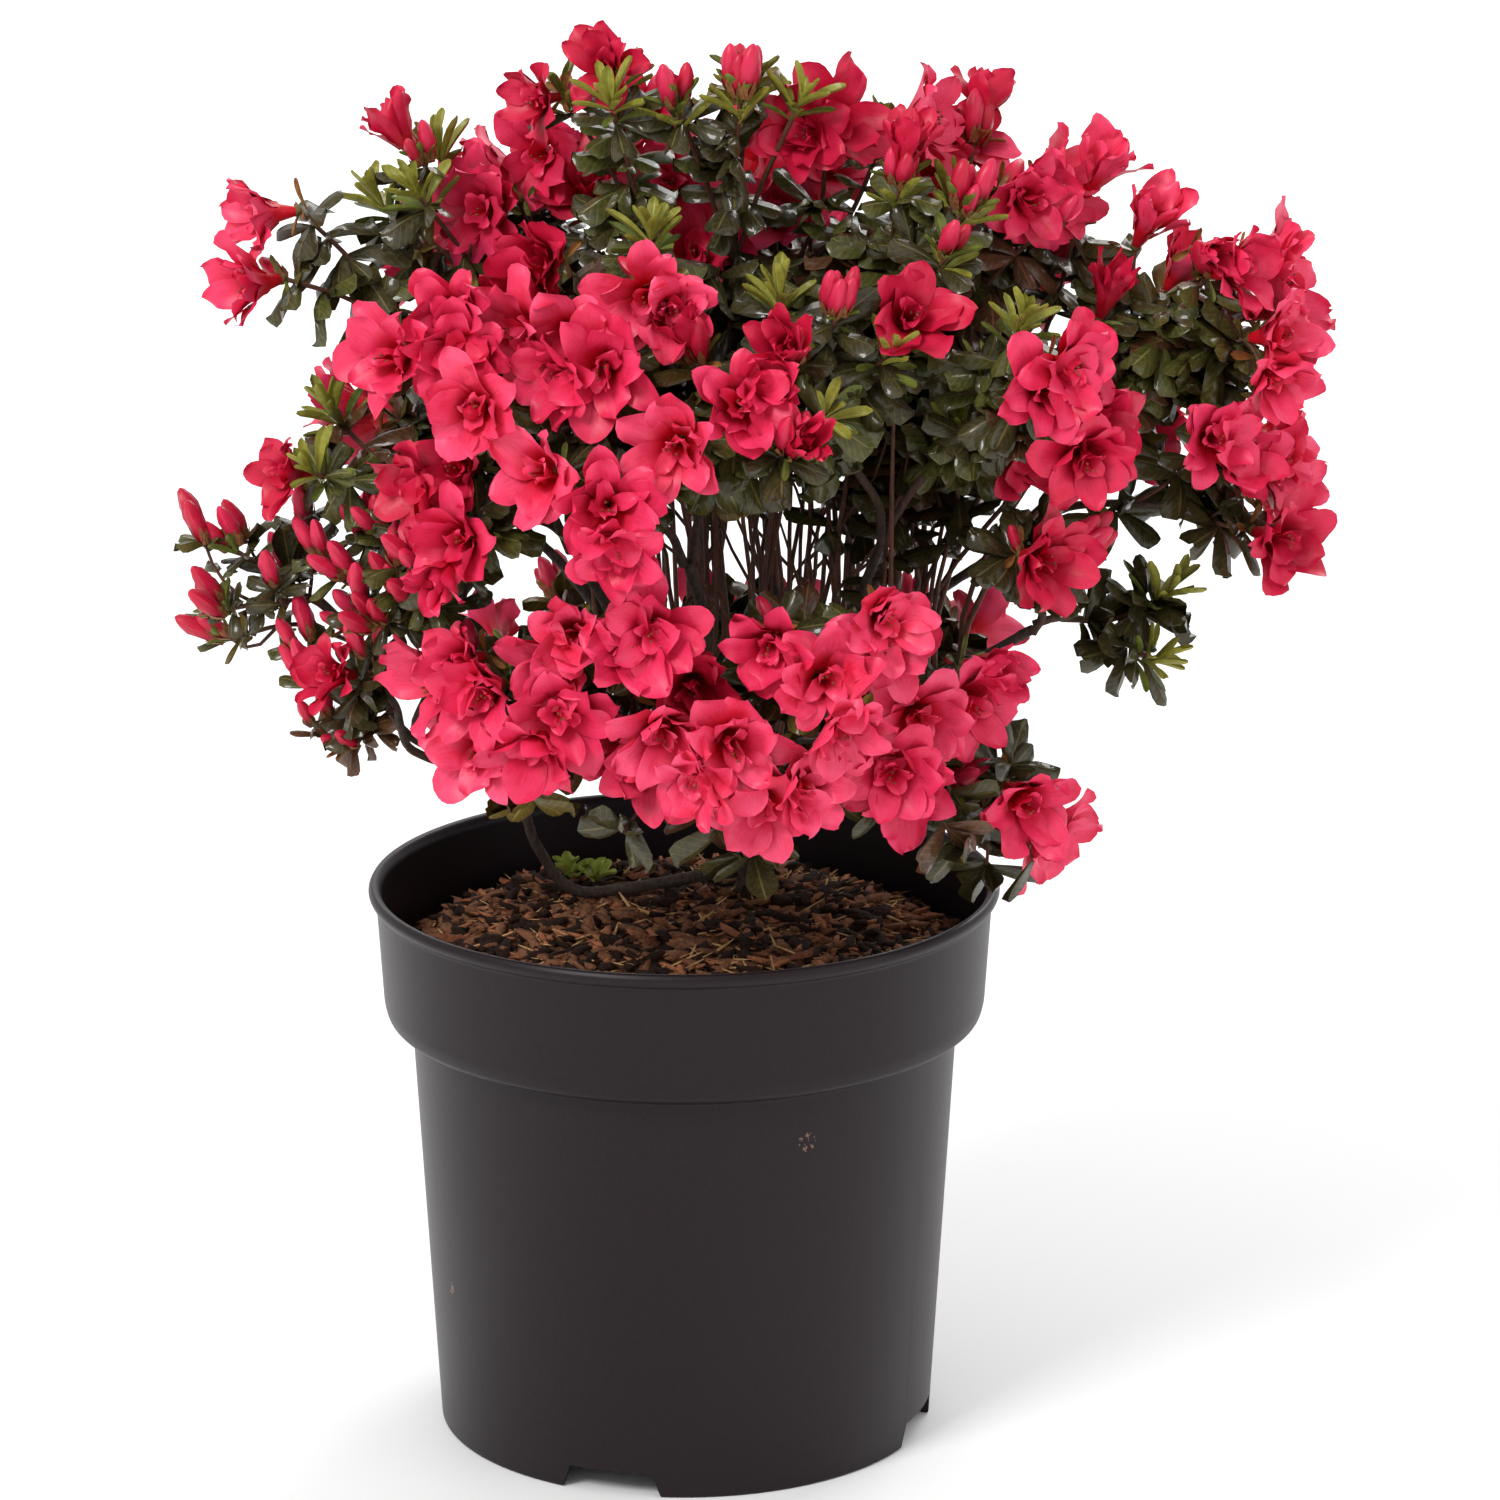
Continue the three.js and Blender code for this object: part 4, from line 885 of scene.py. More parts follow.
def bark_finish(name, dark, middle, light, roughness):
    """Bark: mottled browns with fine cracks that run along the limb."""
    finish = mottled_finish(name, dark, middle, light, coarse=90, fine=620, roughness=roughness,
                            bump=0.5, depth=0.0006, stretch=0.3)
    cracks = drawn_noise(finish.node_tree, (16, 5, 1), 4)
    relief = add_node(finish.node_tree, "ShaderNodeBump", {
        "Strength": 0.6, "Distance": 0.0009, "Height": cracks, "Normal": fed_to(finish, "Normal")})
    feed_shader(finish, {"Normal": relief.outputs["Normal"]})
    return finish


old_bark = bark_finish("old_bark", (34, 25, 21), (58, 44, 37), (92, 76, 64), 0.85)
limb_bark = limb_growth.piece("trunk_and_boughs", [old_bark])
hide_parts("trunk", *[f"bough_{name}" for name in bough_routes])

# ---------------------------------------------------------------- twigs
# Each bough's tip carries the stems of one or more masses of the crown; every stem fans into
# shoots that end in a flower, a cluster of buds or a flush of new leaves. Side twigs and slender
# inner shoots are finer still. Live wood, red-brown on the shoots and dark on the stems.

stem_foot_radius = 1.6
stem_tip_radius = 1.3
shoot_foot_radius = 0.9
shoot_tip_radius = 1.0
head_neck = 11.0
head_spacing = 16.5
stem_share = 0.62
stem_depth = 24.0
face_curl = 0.35
facing_spread = 0.16
crown_centre = np.array([22.0, 5.0, 330.0])
golden_angle = math.pi * (3 - math.sqrt(5))

# Each mass: its bough, the middle of its outer face, its flowers, bud clusters and flushes.
masses = {
    "far_left_bloom": ("left_high", (-146, -20, 455), 2, 0, 0),
    "left_green": ("left_high", (-103, 5, 466), 0, 1, 3),
    "left_side": ("left_high", (-136, -38, 372), 1, 0, 2),
    "left_front": ("left_front", (-86, -98, 426), 3, 0, 0),
    "left_upper": ("left_front", (-32, -88, 446), 4, 0, 1),
    "left_low_mid": ("left_front", (-82, -100, 370), 2, 1, 0),
    "left_mid": ("front", (-38, -124, 390), 2, 1, 0),
    "centre_front": ("front", (16, -122, 407), 2, 2, 0),
    "left_back": ("left_back", (-66, 42, 462), 3, 0, 0),
    "top_left_spire": ("centre", (-35, -18, 510), 2, 0, 1),
    "bud_spire": ("centre", (17, -28, 506), 0, 3, 1),
    "top_right": ("centre", (70, 0, 492), 2, 0, 0),
    "top_back": ("back", (12, 56, 460), 4, 0, 0),
    "right_shoulder": ("right", (128, 12, 466), 2, 3, 0),
    "right_front_spire": ("right", (91, -54, 468), 0, 3, 1),
    "right_inner": ("right", (112, -48, 392), 1, 0, 2),
    "centre_green": ("right_front", (52, -100, 430), 0, 2, 3),
    "right_front": ("right_front", (132, -98, 414), 2, 0, 1),
    "right_low_half": ("right_arch", (134, -72, 352), 1, 1, 0),
    "right_hang": ("right_arch", (176, -12, 306), 0, 0, 2),
    "far_right_mid": ("right_high", (213, -15, 358), 4, 0, 0),
    "far_right_upper": ("right_high", (211, -8, 424), 4, 0, 1),
    "left_bud": ("left_low", (-116, -62, 332), 0, 5, 0),
    "far_left_bud": ("left_low", (-166, -28, 320), 0, 3, 0),
    "far_left_low": ("left_low", (-126, -60, 288), 1, 1, 0),
    "skirt_far_left": ("low_side", (-66, -112, 298), 4, 0, 0),
    "skirt_left": ("front_low", (-26, -126, 320), 3, 0, 0),
    "skirt_mid": ("front_low", (8, -118, 284), 4, 0, 0),
    "skirt_centre": ("front_right_low", (54, -122, 322), 3, 0, 1),
    "skirt_right": ("front_right_low", (88, -94, 286), 3, 2, 0),
    "skirt_far_right": ("front_right_low", (128, -64, 254), 2, 0, 0),
}
back_tiers = {
    "low": (128, 262, 50, 40, 2, 1, ("back_low", "back_low", "back_low")),
    "middle": (160, 366, 32, 58, 3, 0, ("right_back", "back", "left_back")),
    "upper": (118, 436, 32, 58, 3, 1, ("right_back", "back", "left_back")),
}
for tier, (reach, height, bearing, step, flowers, buds, carriers) in back_tiers.items():
    for i, carrier in enumerate(carriers):
        turn = math.radians(bearing + step * i)
        place = (crown_centre[0] + math.cos(turn) * reach, crown_centre[1] + math.sin(turn) * reach, height)
        masses[f"back_{tier}_{i + 1}"] = (carrier, place, flowers, buds, 0)


def outward_at(place):
    """The way a mass looks: out from the middle of the crown, and a little upward."""
    outward = place - crown_centre
    outward[2] = outward[2] * 0.8 + 30
    return unit(outward)


def heads_of(name, random):
    """Where a mass's heads stand and how they face: a golden-angle disc curved back at its edge."""
    _, place, flowers, buds, flush = masses[name]
    place = np.array(place, dtype=float)
    outward = outward_at(place)
    kinds = ["flower"] * flowers + ["buds"] * buds + ["flush"] * flush
    spread = head_spacing * math.sqrt(flowers + 0.7 * (buds + flush))
    turn = random() * 2 * math.pi
    heads = []
    for i, kind in enumerate(kinds):
        share = 0 if len(kinds) == 1 else math.sqrt((i + 0.5) / len(kinds))
        angle = turn + i * golden_angle
        aside = spoke(outward, angle)
        tip = place + aside * spread * share
        tip = tip + outward * (-spread * share * share * face_curl + spread_of(random, 3))
        facing = outward + aside * share * 0.55
        facing = facing + np.array([spread_of(random, facing_spread) for _ in range(3)])
        heads.append({"mass": name, "kind": kind, "tip": tip, "facing": unit(facing),
                      "roll": random() * 2 * math.pi, "share": 1 - 0.45 * (i / len(kinds))})
    return heads


mass_random = {name: seeded_numbers(101 + i * 7) for i, name in enumerate(masses)}
stem_routes = {}
for bough, (end, direction) in bough_ends.items():
    carried = [name for name in masses if masses[name][0] == bough]
    places = [np.array(masses[name][1], dtype=float) for name in carried]
    feet = share_feet(feet_on(end, direction, len(carried), stem_foot_radius), places)
    for name, foot, place in zip(carried, feet, places):
        outward = outward_at(place)
        reach = np.linalg.norm(place - foot)
        stem_end = place - outward * max(stem_depth, reach * (1 - stem_share))
        arrive = unit(unit(stem_end - foot) + outward)
        for attempt in range(60):
            points = route_of(foot, stem_end, direction, arrive, 4, 1.2, attempt, mass_random[name])
            if route_is_clear(points, stem_foot_radius, name, f"bough_{bough}"):
                break
        keep_limb(name, points, stem_foot_radius)
        stem_routes[name] = points

heads = []
for name in masses:
    for head in heads_of(name, mass_random[name]):
        start, direction = along(stem_routes[name], head["share"])
        neck = head_neck if head["kind"] == "flower" else 4
        end = head["tip"] - head["facing"] * neck
        leave = unit(direction + (unit(end - start) - direction) * 0.5)
        for attempt in range(10):
            points = route_of(start, end, leave, head["facing"], 2, 0.8, attempt * 1.5, mass_random[name])
            if route_is_clear(points, shoot_tip_radius, name, name):
                keep_limb(name, points, shoot_tip_radius)
                head["route"] = points
                heads.append(head)
                break


stem_growth = Growth()
shoot_growth = Growth()
for order, (name, points) in enumerate(stem_routes.items()):
    fine = smoothed(points, 5)
    add_limb(stem_growth, fine, tapered(stem_foot_radius, stem_tip_radius, len(fine)), 8, 0.07,
             seed=100 + order)
for order, head in enumerate(heads):
    fine = smoothed(head["route"], 5)
    add_limb(shoot_growth, fine, tapered(shoot_foot_radius, shoot_tip_radius * 0.9, len(fine)), 6, 0.05,
             seed=200 + order)

# Flowers: one stands on each flowering shoot, most have a second beside it on a short stalk, and
# some clusters of buds have one half open.
companion_reach = 22.0
companion_room = 17.0
companion_share = 0.6
companion_open_share = 0.78
half_open_share = 0.35
light_line = 30.0
back_line = 62.0
blossom_tone_odds = (0.42, 0.36, 0.22)
single_flowered = ("top_left_spire", "skirt_far_right", "far_left_low", "left_side")
small_flowered = {"top_left_spire": 0.74, "far_left_low": 0.85, "left_side": 0.85}
all_in_bud = ("left_bud", "far_left_bud", "bud_spire")
flower_random = np.random.default_rng(53)
flower_tips = [head["tip"] for head in heads if head["kind"] == "flower"]
blossoms = []
stalks = []
for head in heads:
    neck, facing = head["route"][-1], head["facing"]
    tone = flower_random.choice(3, p=blossom_tone_odds)
    aside = unit(np.array([head["tip"][0] - crown_centre[0], head["tip"][1] - light_line, 0]))
    to_light = np.array([0, -0.55 if head["tip"][1] < back_line else 0.4, 0])
    nod = unit(facing + (aside - up) * 0.75 * max(0, facing[2]) + to_light + flower_random.normal(0, 0.2, 3))
    if head["kind"] == "flower":
        size = flower_random.uniform(0.94, 1.08) * small_flowered.get(head["mass"], 1)
        blossoms.append({"neck": neck, "facing": nod, "size": size, "open": True, "tone": tone})
        ways = [unit(facing * 0.4 + spoke(facing, angle) * 0.92)
                for angle in flower_random.uniform(0, 2 * math.pi) + np.arange(7) * 2 * math.pi / 7]
        room = [min(np.linalg.norm(neck + way * companion_reach - tip) for tip in flower_tips)
                for way in ways]
        way = ways[int(np.argmax(room))]
        if (max(room) > companion_room and flower_random.random() < companion_share
                and head["mass"] not in single_flowered):
            joint = neck + way * (companion_reach - head_neck)
            stalks.append(np.array([neck - facing * 1.5, neck + way * 4, joint]))
            flower_tips.append(neck + way * companion_reach)
            lifted = unit(way + facing * 0.35)
            blossoms.append({"neck": joint,
                             "facing": unit(lifted + (aside - up) * 0.9 * max(0, lifted[2]) + to_light),
                             "size": flower_random.uniform(0.84, 0.98),
                             "open": flower_random.random() < companion_open_share, "tone": tone})
    elif (head["kind"] == "buds" and head["mass"] not in all_in_bud
          and flower_random.random() < half_open_share):
        blossoms.append({"neck": neck + facing * 2, "facing": facing, "size": 0.85, "open": False, "tone": 2})

# Side twigs: each leaves a stem at the golden angle and ends in a tuft of leaves. Low down in the
# shade most of them have died back, and near the top whorls on the shoots take their place.
twig_random = np.random.default_rng(71)
front_leafy = 0.18
back_leafy = 0.75
shade_heights = (370, 400, 425, 455)
side_twigs = []


def bowed(start, leave, arrive, length, bow, count):
    """The points of a short twig that bends from one direction to another."""
    end = start + unit(leave + arrive) * length
    return np.array([start + (end - start) * t + (arrive - leave) * length * bow * 4 * t * (t - 1)
                     for t in np.linspace(0, 1, count)])


def grow_side_twigs(carrier, first, last, spacing, lengths):
    """Short twigs along a stretch of a limb, given by shares of its length."""
    span = np.linalg.norm(np.diff(carrier, axis=0), axis=1).sum() * (last - first)
    count = max(1, int(round(span / spacing)))
    turn = twig_random.uniform(0, 2 * math.pi)
    for i in range(count):
        start, direction = along(carrier, first + (last - first) * (i + 0.5) / count)
        leafy_low = front_leafy if start[1] < 10 and start[0] < 70 else back_leafy
        if twig_random.random() > np.interp(start[2], shade_heights, (leafy_low, 0.8, 0.8, 0.15)):
            continue
        out = spoke(direction, turn + i * golden_angle)
        spread = twig_random.uniform(0.7, 1.1)
        leave = unit(direction * math.cos(spread) + out * math.sin(spread))
        arrive = unit(leave + up * 0.45 + outward_at(start) * 0.35)
        route = bowed(start, leave, arrive, twig_random.uniform(*lengths), 0.12, 5)
        side_twigs.append({"route": route, "facing": arrive})


for name, points in stem_routes.items():
    grow_side_twigs(smoothed(points, 3), 0.35, 0.95, 17, (5, 14))
for head in heads:
    grow_side_twigs(smoothed(head["route"], 3), 0.25, 0.65, 30, (5, 11))
for head in heads:
    if head["mass"].startswith("skirt"):
        start, direction = along(head["route"], 0.5)
        hanging = unit(np.array([*(head["facing"][:2] * 0.5 + twig_random.normal(0, 0.3, 2)), -1]))
        length = twig_random.uniform(22, 40)
        route = start + np.outer(np.linspace(0, 1, 5), hanging) * length
        side_twigs.append({"route": route, "facing": hanging})

# Fine arching twigs with one or two buds, low on the left where the plant is still in bud.
bud_twigs = []
for head in heads:
    if head["mass"] in ("left_bud", "far_left_bud", "far_left_low"):
        for share in (0.3, 0.65):
            start, direction = along(head["route"], share)
            out = spoke(direction, twig_random.uniform(0, 2 * math.pi))
            leave = unit(direction * 0.6 + out)
            arrive = unit(up + outward_at(start) * 0.35 + out * 0.25)
            route = bowed(start, leave, arrive, twig_random.uniform(15, 30), 0.2, 5)
            bud_twigs.append({"route": route, "facing": arrive})
for order, twig in enumerate(side_twigs + bud_twigs):
    add_limb(shoot_growth, twig["route"], tapered(0.75, 0.55, 5), 5, 0.04, seed=500 + order)

# Slender upright shoots that rise from the boughs through the open middle to the underside of
# the crown. They carry leaves near their tips only, and lower down at the back and the right.
inner_count = 64
inner_spread = np.array([84.0, 62.0])
inner_middle = np.array([32.0, 8.0])
inner_random = np.random.default_rng(83)
footings = np.vstack([smoothed(points, 4) for points in bough_routes.values()])
footings = footings[(footings[:, 2] > 212) & (footings[:, 2] < 305)]


def rising_route(foot, end, lean, bend):
    """A slender shoot that leans at its foot and stands upright at its tip."""
    reach = np.linalg.norm(end - foot)
    shares = np.linspace(0, 1, 10)[:, None]
    return ((1 - shares) ** 3 * foot + 3 * (1 - shares) ** 2 * shares * (foot + lean * reach * 0.33 + bend)
            + 3 * (1 - shares) * shares ** 2 * (end - up * reach * 0.33 - bend) + shares ** 3 * end)


inner_shoots = []
for i in range(inner_count):
    angle = i * golden_angle
    level_place = inner_middle + inner_spread * math.sqrt((i + 0.5) / inner_count) * np.array(
        [math.cos(angle), math.sin(angle)])
    end = np.array([*level_place, inner_random.uniform(385, 440)])
    apart = np.linalg.norm(footings[:, :2] - (level_place * 0.8 + inner_middle * 0.2), axis=1)
    foot = footings[int(np.argmin(apart + inner_random.uniform(0, 12, len(apart))))]
    lean = np.array([*inner_random.normal(0, 0.16, 2), 1.0])
    bend = np.array([*inner_random.normal(0, 6, 2), 0])
    points = rising_route(foot, end, lean, bend)
    points[1:-1] += inner_random.normal(0, 0.7, (8, 3))
    inner_shoots.append(points)
    add_limb(shoot_growth, points, tapered(1.05, 0.6, 10), 6, 0.06, seed=700 + i)

# Many of them fork low down, and the slanting forks cross each other in the open middle.
fork_random = np.random.default_rng(89)
fork_start = (0.12, 0.5)
fork_lengths = (45, 90)
fork_tips = []
for i, carrier in enumerate(inner_shoots[::2]):
    start, direction = along(carrier, fork_random.uniform(*fork_start))
    aside = unit(np.array([fork_random.choice((-1, 1)), fork_random.normal(0, 0.6), 0]))
    leave = unit(direction + aside * fork_random.uniform(0.7, 1.5))
    arrive = unit(up + aside * 0.3)
    route = bowed(start, leave, arrive, fork_random.uniform(*fork_lengths), 0.15, 6)
    route[1:] += fork_random.normal(0, 0.5, (5, 3))
    fork_tips.append((route[-1], arrive))
    add_limb(shoot_growth, route, tapered(0.75, 0.45, 6), 5, 0.05, seed=780 + i)


def flowering_shoot(place, facing, apart, sizes, is_open, seed):
    """A slender shoot that ends in a flower, from the footing that is the least apart from it."""
    neck = place - facing * head_neck
    foot = footings[int(np.argmin(apart))]
    points = rising_route(foot, neck, up, np.array([*inner_random.normal(0, 5, 2), 0]))
    add_limb(shoot_growth, points, tapered(1.1, 0.8, 10), 6, 0.06, seed=seed)
    blossoms.append({"neck": neck, "facing": facing, "size": inner_random.uniform(*sizes), "open": is_open,
                     "tone": inner_random.choice(3, p=blossom_tone_odds)})
    return points


# A few of these slender shoots flower between the spires and among the new leaves in front.
flowering_places = np.array([(-14, 34, 480), (-4, 22, 456), (34, 16, 446), (52, 26, 462), (4, -8, 436),
                             (86, 12, 456), (78, -80, 430), (-34, 30, 452), (100, 30, 470)], dtype=float)
for i, place in enumerate(flowering_places):
    facing = np.array([(place[0] - crown_centre[0]) * 0.008, -0.8, 0.5])
    facing = unit(facing + inner_random.normal(0, 0.12, 3))
    apart = np.linalg.norm(footings[:, :2] - place[:2], axis=1)
    flowering_shoot(place, facing, apart, (0.92, 1.05), True, 860 + i)

# Leafy shoots with half-open flowers close the shoulder between the crown and its far right.
shoulder_places = np.array([(146, 10, 462), (164, 2, 446), (150, -14, 424), (176, 8, 428)], dtype=float)
leafy_shoots = []
for i, place in enumerate(shoulder_places):
    facing = unit(np.array([0.25, -0.3, 0.9]) + inner_random.normal(0, 0.14, 3))
    apart = np.linalg.norm(footings - (place - facing * head_neck - (30, 0, 180)), axis=1)
    leafy_shoots.append(flowering_shoot(place, facing, apart, (0.88, 1.0), False, 880 + i))

stem_bark = bark_finish("stem_bark", (38, 27, 22), (64, 44, 35), (98, 72, 56), 0.8)
young_bark = bark_finish("young_bark", (58, 30, 22), (94, 50, 34), (124, 76, 46), 0.65)
stems = stem_growth.piece("crown_stems", [stem_bark])
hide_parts(*[f"mass_{name}" for name in masses])
shoots = shoot_growth.piece("crown_shoots", [young_bark])

# ---------------------------------------------------------------- leaves
# Evergreen leaves a good two centimetres long: leathery, broadest past the middle, dark glossy
# green with a sunken midrib and rolled margins. They sit in whorls behind the flowers and along
# the twigs; older ones are bronze, and a few flushes of narrow new ones are yellow-green.

leaf_length = 21.5


def leaf_shape(curl, dome, droop, twist):
    """A leaf along +Z, its upper side towards +Y, one unit long and wide."""
    shares = np.array([0, 0.12, 0.32, 0.55, 0.74, 0.9, 1.0])
    halves = np.maximum(shares ** 0.75 * (1 - shares ** 4) ** 0.5 / 0.67, 0.12) / 2
    halves[-1] = 0.07
    places, uv = [], []
    for share, half in zip(shares, halves):
        for side in (-1, -0.5, 0, 0.5, 1):
            lift = dome * (1 - (abs(side) * 2 - 1) ** 2) - droop * side * side
            lift = lift - curl * share ** 2 + 0.05 * math.sin(math.pi * share)
            places.append((side * half, lift * (0.3 + half * 1.4) + twist * side * share * 0.3, share))
            uv.append((side / 2 + 0.5, share))
    index = np.arange(6)[:, None] * 5 + np.arange(4)[None]
    faces = np.stack([index, index + 5, index + 6, index + 1], axis=2).reshape(-1, 4)
    return {"places": np.array(places), "faces": faces, "uv": np.array(uv),
            "slots": np.zeros(len(faces), dtype=int), "toned": np.ones(len(faces), dtype=int)}


leaf_shapes = [
    leaf_shape(0.15, 0.18, 0.34, 0.1), leaf_shape(0.35, 0.16, 0.42, -0.15), leaf_shape(0.55, 0.2, 0.3, 0.2),
    leaf_shape(0.0, 0.14, 0.22, -0.1),
]
new_leaf_shape = leaf_shape(0.3, 0.06, -0.4, 0.2)
leaf_random = np.random.default_rng(29)
flower_centres = np.array([row["neck"] + row["facing"] * head_neck * row["size"] for row in blossoms])
flower_facings = np.array([row["facing"] for row in blossoms])
flower_room = 19.0
leaf_breadth = (0.5, 0.58)


class Foliage:
    """Leaves of one kind, gathered by the shape that they take."""

    def __init__(self, shapes, broad=1.0, flower_depth=20.0):
        self.shapes = shapes
        self.broad = broad
        self.flower_depth = flower_depth
        self.rows = [[] for _ in shapes]

    def spring(self, foot, along_twig, turn, splay, length, width, tone):
        """One leaf from a twig, its upper side towards the twig's tip."""
        out = spoke(along_twig, turn)
        direction = unit(along_twig * math.cos(splay) + out * math.sin(splay))
        upper = unit(along_twig - direction * (along_twig @ direction) + up * 0.25
                     + leaf_random.normal(0, 0.12, 3))
        upper = unit(upper - direction * (upper @ direction))
        across = np.cross(upper, direction)
        tips = foot + np.outer((0.4, 0.7, 1.0), direction) * length
        from_flower = tips[:, None] - flower_centres[None]
        ahead = (from_flower * flower_facings[None]).sum(2)
        off_axis = np.sqrt(np.maximum((from_flower ** 2).sum(2) - ahead ** 2, 0))
        room = np.minimum(5 + (ahead + 4) * 1.4, flower_room)
        if ((off_axis < room) & (ahead > -4) & (ahead < self.flower_depth)).any():
            return
        frame_rows = np.array([across, upper, direction])
        self.rows[leaf_random.integers(len(self.shapes))].append(
            (foot + direction * 0.4, frame_rows, (width, width, length), tone))

    def whorl(self, centre, direction, count, splay, length, tone):
        """A ring of leaves round a twig, turned at random."""
        turn = leaf_random.uniform(0, 2 * math.pi)
        for i in range(count):
            size = length * leaf_random.uniform(0.78, 1.12)
            self.spring(centre - direction * leaf_random.uniform(0, 4), direction,
                        turn + i * 2 * math.pi / count + leaf_random.normal(0, 0.2),
                        splay + leaf_random.normal(0, 0.14), size,
                        size * self.broad * leaf_random.uniform(*leaf_breadth), tone)

    def ladder(self, route, first, last, count, splay, length, tone):
        """Leaves along a twig at the golden angle."""
        turn = leaf_random.uniform(0, 2 * math.pi)
        for i in range(count):
            share = (i + leaf_random.uniform(0, 1)) / count
            spot, direction = along(route, first + (last - first) * share)
            size = length * leaf_random.uniform(0.6, 1.15)
            self.spring(spot, direction, turn + i * golden_angle, splay + leaf_random.normal(0, 0.3),
                        size, size * self.broad * leaf_random.uniform(*leaf_breadth), tone)

    def piece(self, name, finishes):
        """The joined mesh piece of all these leaves."""
        growth = Growth()
        for shape, rows in zip(self.shapes, self.rows):
            if rows:
                spots, frames, sizes, tones = (np.array(part) for part in zip(*rows))
                growth.add_copies(shape, spots, frames, sizes, tones.astype(int))
        piece = growth.piece(name, finishes)
        return piece


outer_leaves = Foliage(leaf_shapes)
inner_leaves = Foliage(leaf_shapes)
new_leaves = Foliage([new_leaf_shape], broad=0.5, flower_depth=8.0)
tone_odds = {"outer": (0.56, 0.28, 0.09, 0.07), "inner": (0.64, 0.18, 0.06, 0.12)}
small_leaved = {"left_bud": 0.6, "far_left_bud": 0.6, "far_left_low": 0.72, "left_side": 0.85}
spires = ("top_left_spire", "bud_spire", "top_right", "right_front_spire")
column_length = 84.0
column_step = 9.5
shoot_tiers = (0.93, 0.72, 0.5, 0.28)
low_shoot_tiers = (0.93, 0.66)
crowded = spires + ("top_back", "back_upper_1", "back_upper_2", "back_upper_3")
inner_leaf_count = 30


def droop_at(share):
    """How far a whorl's leaves spread from the shoot: upright at its tip, hanging lower down."""
    return 1.0 + 1.3 * share


for head in heads:
    tone = leaf_random.choice(4, p=tone_odds["outer"])
    size = leaf_length * small_leaved.get(head["mass"], 1)
    rising_way = unit(head["facing"] + up * 0.7)
    if head["mass"] in spires and head["share"] == 1:
        column = smoothed(np.vstack([stem_routes[head["mass"]][:-1], head["route"]]), 8)[::-1]
        depths = np.concatenate([[0], np.cumsum(np.linalg.norm(np.diff(column, axis=0), axis=1))])
        for depth in np.arange(column_step, column_length, column_step):
            i = int(np.searchsorted(depths, depth))
            share = depth / column_length
            outer_leaves.whorl(column[i], unit(unit(column[i - 1] - column[i + 1]) + up * 0.5), 6,
                               droop_at(share), leaf_length * (0.7 + 0.5 * share), tone)
        continue
    tiers = shoot_tiers if head["tip"][2] > 400 else low_shoot_tiers
    if head["mass"] in crowded:
        tiers = shoot_tiers[:1]
    for tier in tiers:
        spot, direction = along(head["route"], tier)
        outer_leaves.whorl(spot, unit(rising_way + direction * 0.5), 5, droop_at(1.2 - tier),
                           size * (1.1 - tier * 0.25), tone)
for points in inner_shoots:
    tone = leaf_random.choice(4, p=tone_odds["inner"])
    leafy_from = 0.42
    if points[-1][0] < 58:
        leafy_from = 0.8 if points[-1][1] < 20 else 0.62
    inner_leaves.ladder(points, leafy_from, 1.0, int((1 - leafy_from) * inner_leaf_count), 1.5,
                        leaf_length * 0.9, tone)
    inner_leaves.whorl(points[-1], up, 5, 1.2, leaf_length * 0.9, tone)
for twig in side_twigs:
    tone = leaf_random.choice(4, p=tone_odds["inner"])
    inner_leaves.whorl(twig["route"][-1], twig["facing"], 5, 1.0, leaf_length * 0.9, tone)
    inner_leaves.ladder(twig["route"], 0.3, 0.85, 2, 1.1, leaf_length * 0.9, tone)
for tip, way in fork_tips:
    if fork_random.random() < 0.45:
        inner_leaves.whorl(tip, way, 3, 1.2, leaf_length * 0.7, 0)
for points in leafy_shoots:
    tone = leaf_random.choice(4, p=tone_odds["outer"])
    outer_leaves.ladder(points, 0.55, 0.92, 16, 1.35, leaf_length, tone)
    outer_leaves.whorl(points[-2], up, 6, 1.25, leaf_length, tone)
    outer_leaves.whorl(points[-1], up, 5, 1.0, leaf_length * 0.85, tone)
for twig in bud_twigs:
    tone = leaf_random.choice(4, p=tone_odds["outer"])
    outer_leaves.whorl(twig["route"][-1], twig["facing"], 4, 1.15, leaf_length * 0.6, tone)
    outer_leaves.ladder(twig["route"], 0.4, 0.85, 2, 1.0, leaf_length * 0.55, tone)


def make_ribs():
    """A shader group that marks a leaf's midrib and side veins from its texture coordinates."""
    group, given = make_group("ribs", "ShaderNodeTree", {
        "Colour": "Color", "Rib colour": "Color", "Rib width": "Float"}, {"Colour": "Color"})
    shape = add_node(group, "ShaderNodeUVMap", uv_map="shape")
    split = add_node(group, "ShaderNodeSeparateXYZ", {0: shape.outputs[0]})
    off_rib = worked(group, "ABSOLUTE", worked(group, "SUBTRACT", split.outputs["X"], 0.5))
    rib = worked(group, "LESS_THAN", off_rib, given["Rib width"])
    slant = worked(group, "SUBTRACT", worked(group, "MULTIPLY", split.outputs["Y"], 7.0),
                   worked(group, "MULTIPLY", off_rib, 5.0))
    wave = worked(group, "SINE", worked(group, "MULTIPLY", slant, 2 * math.pi))
    vein = worked(group, "MULTIPLY", worked(group, "GREATER_THAN", wave, 0.93), 0.35)
    mark = worked(group, "MAXIMUM", worked(group, "MULTIPLY", rib, 0.8), vein)
    colour = blended(group, mark, given["Colour"], given["Rib colour"])
    add_node(group, "NodeGroupOutput", {"Colour": colour})
    return group


ribs = make_ribs()


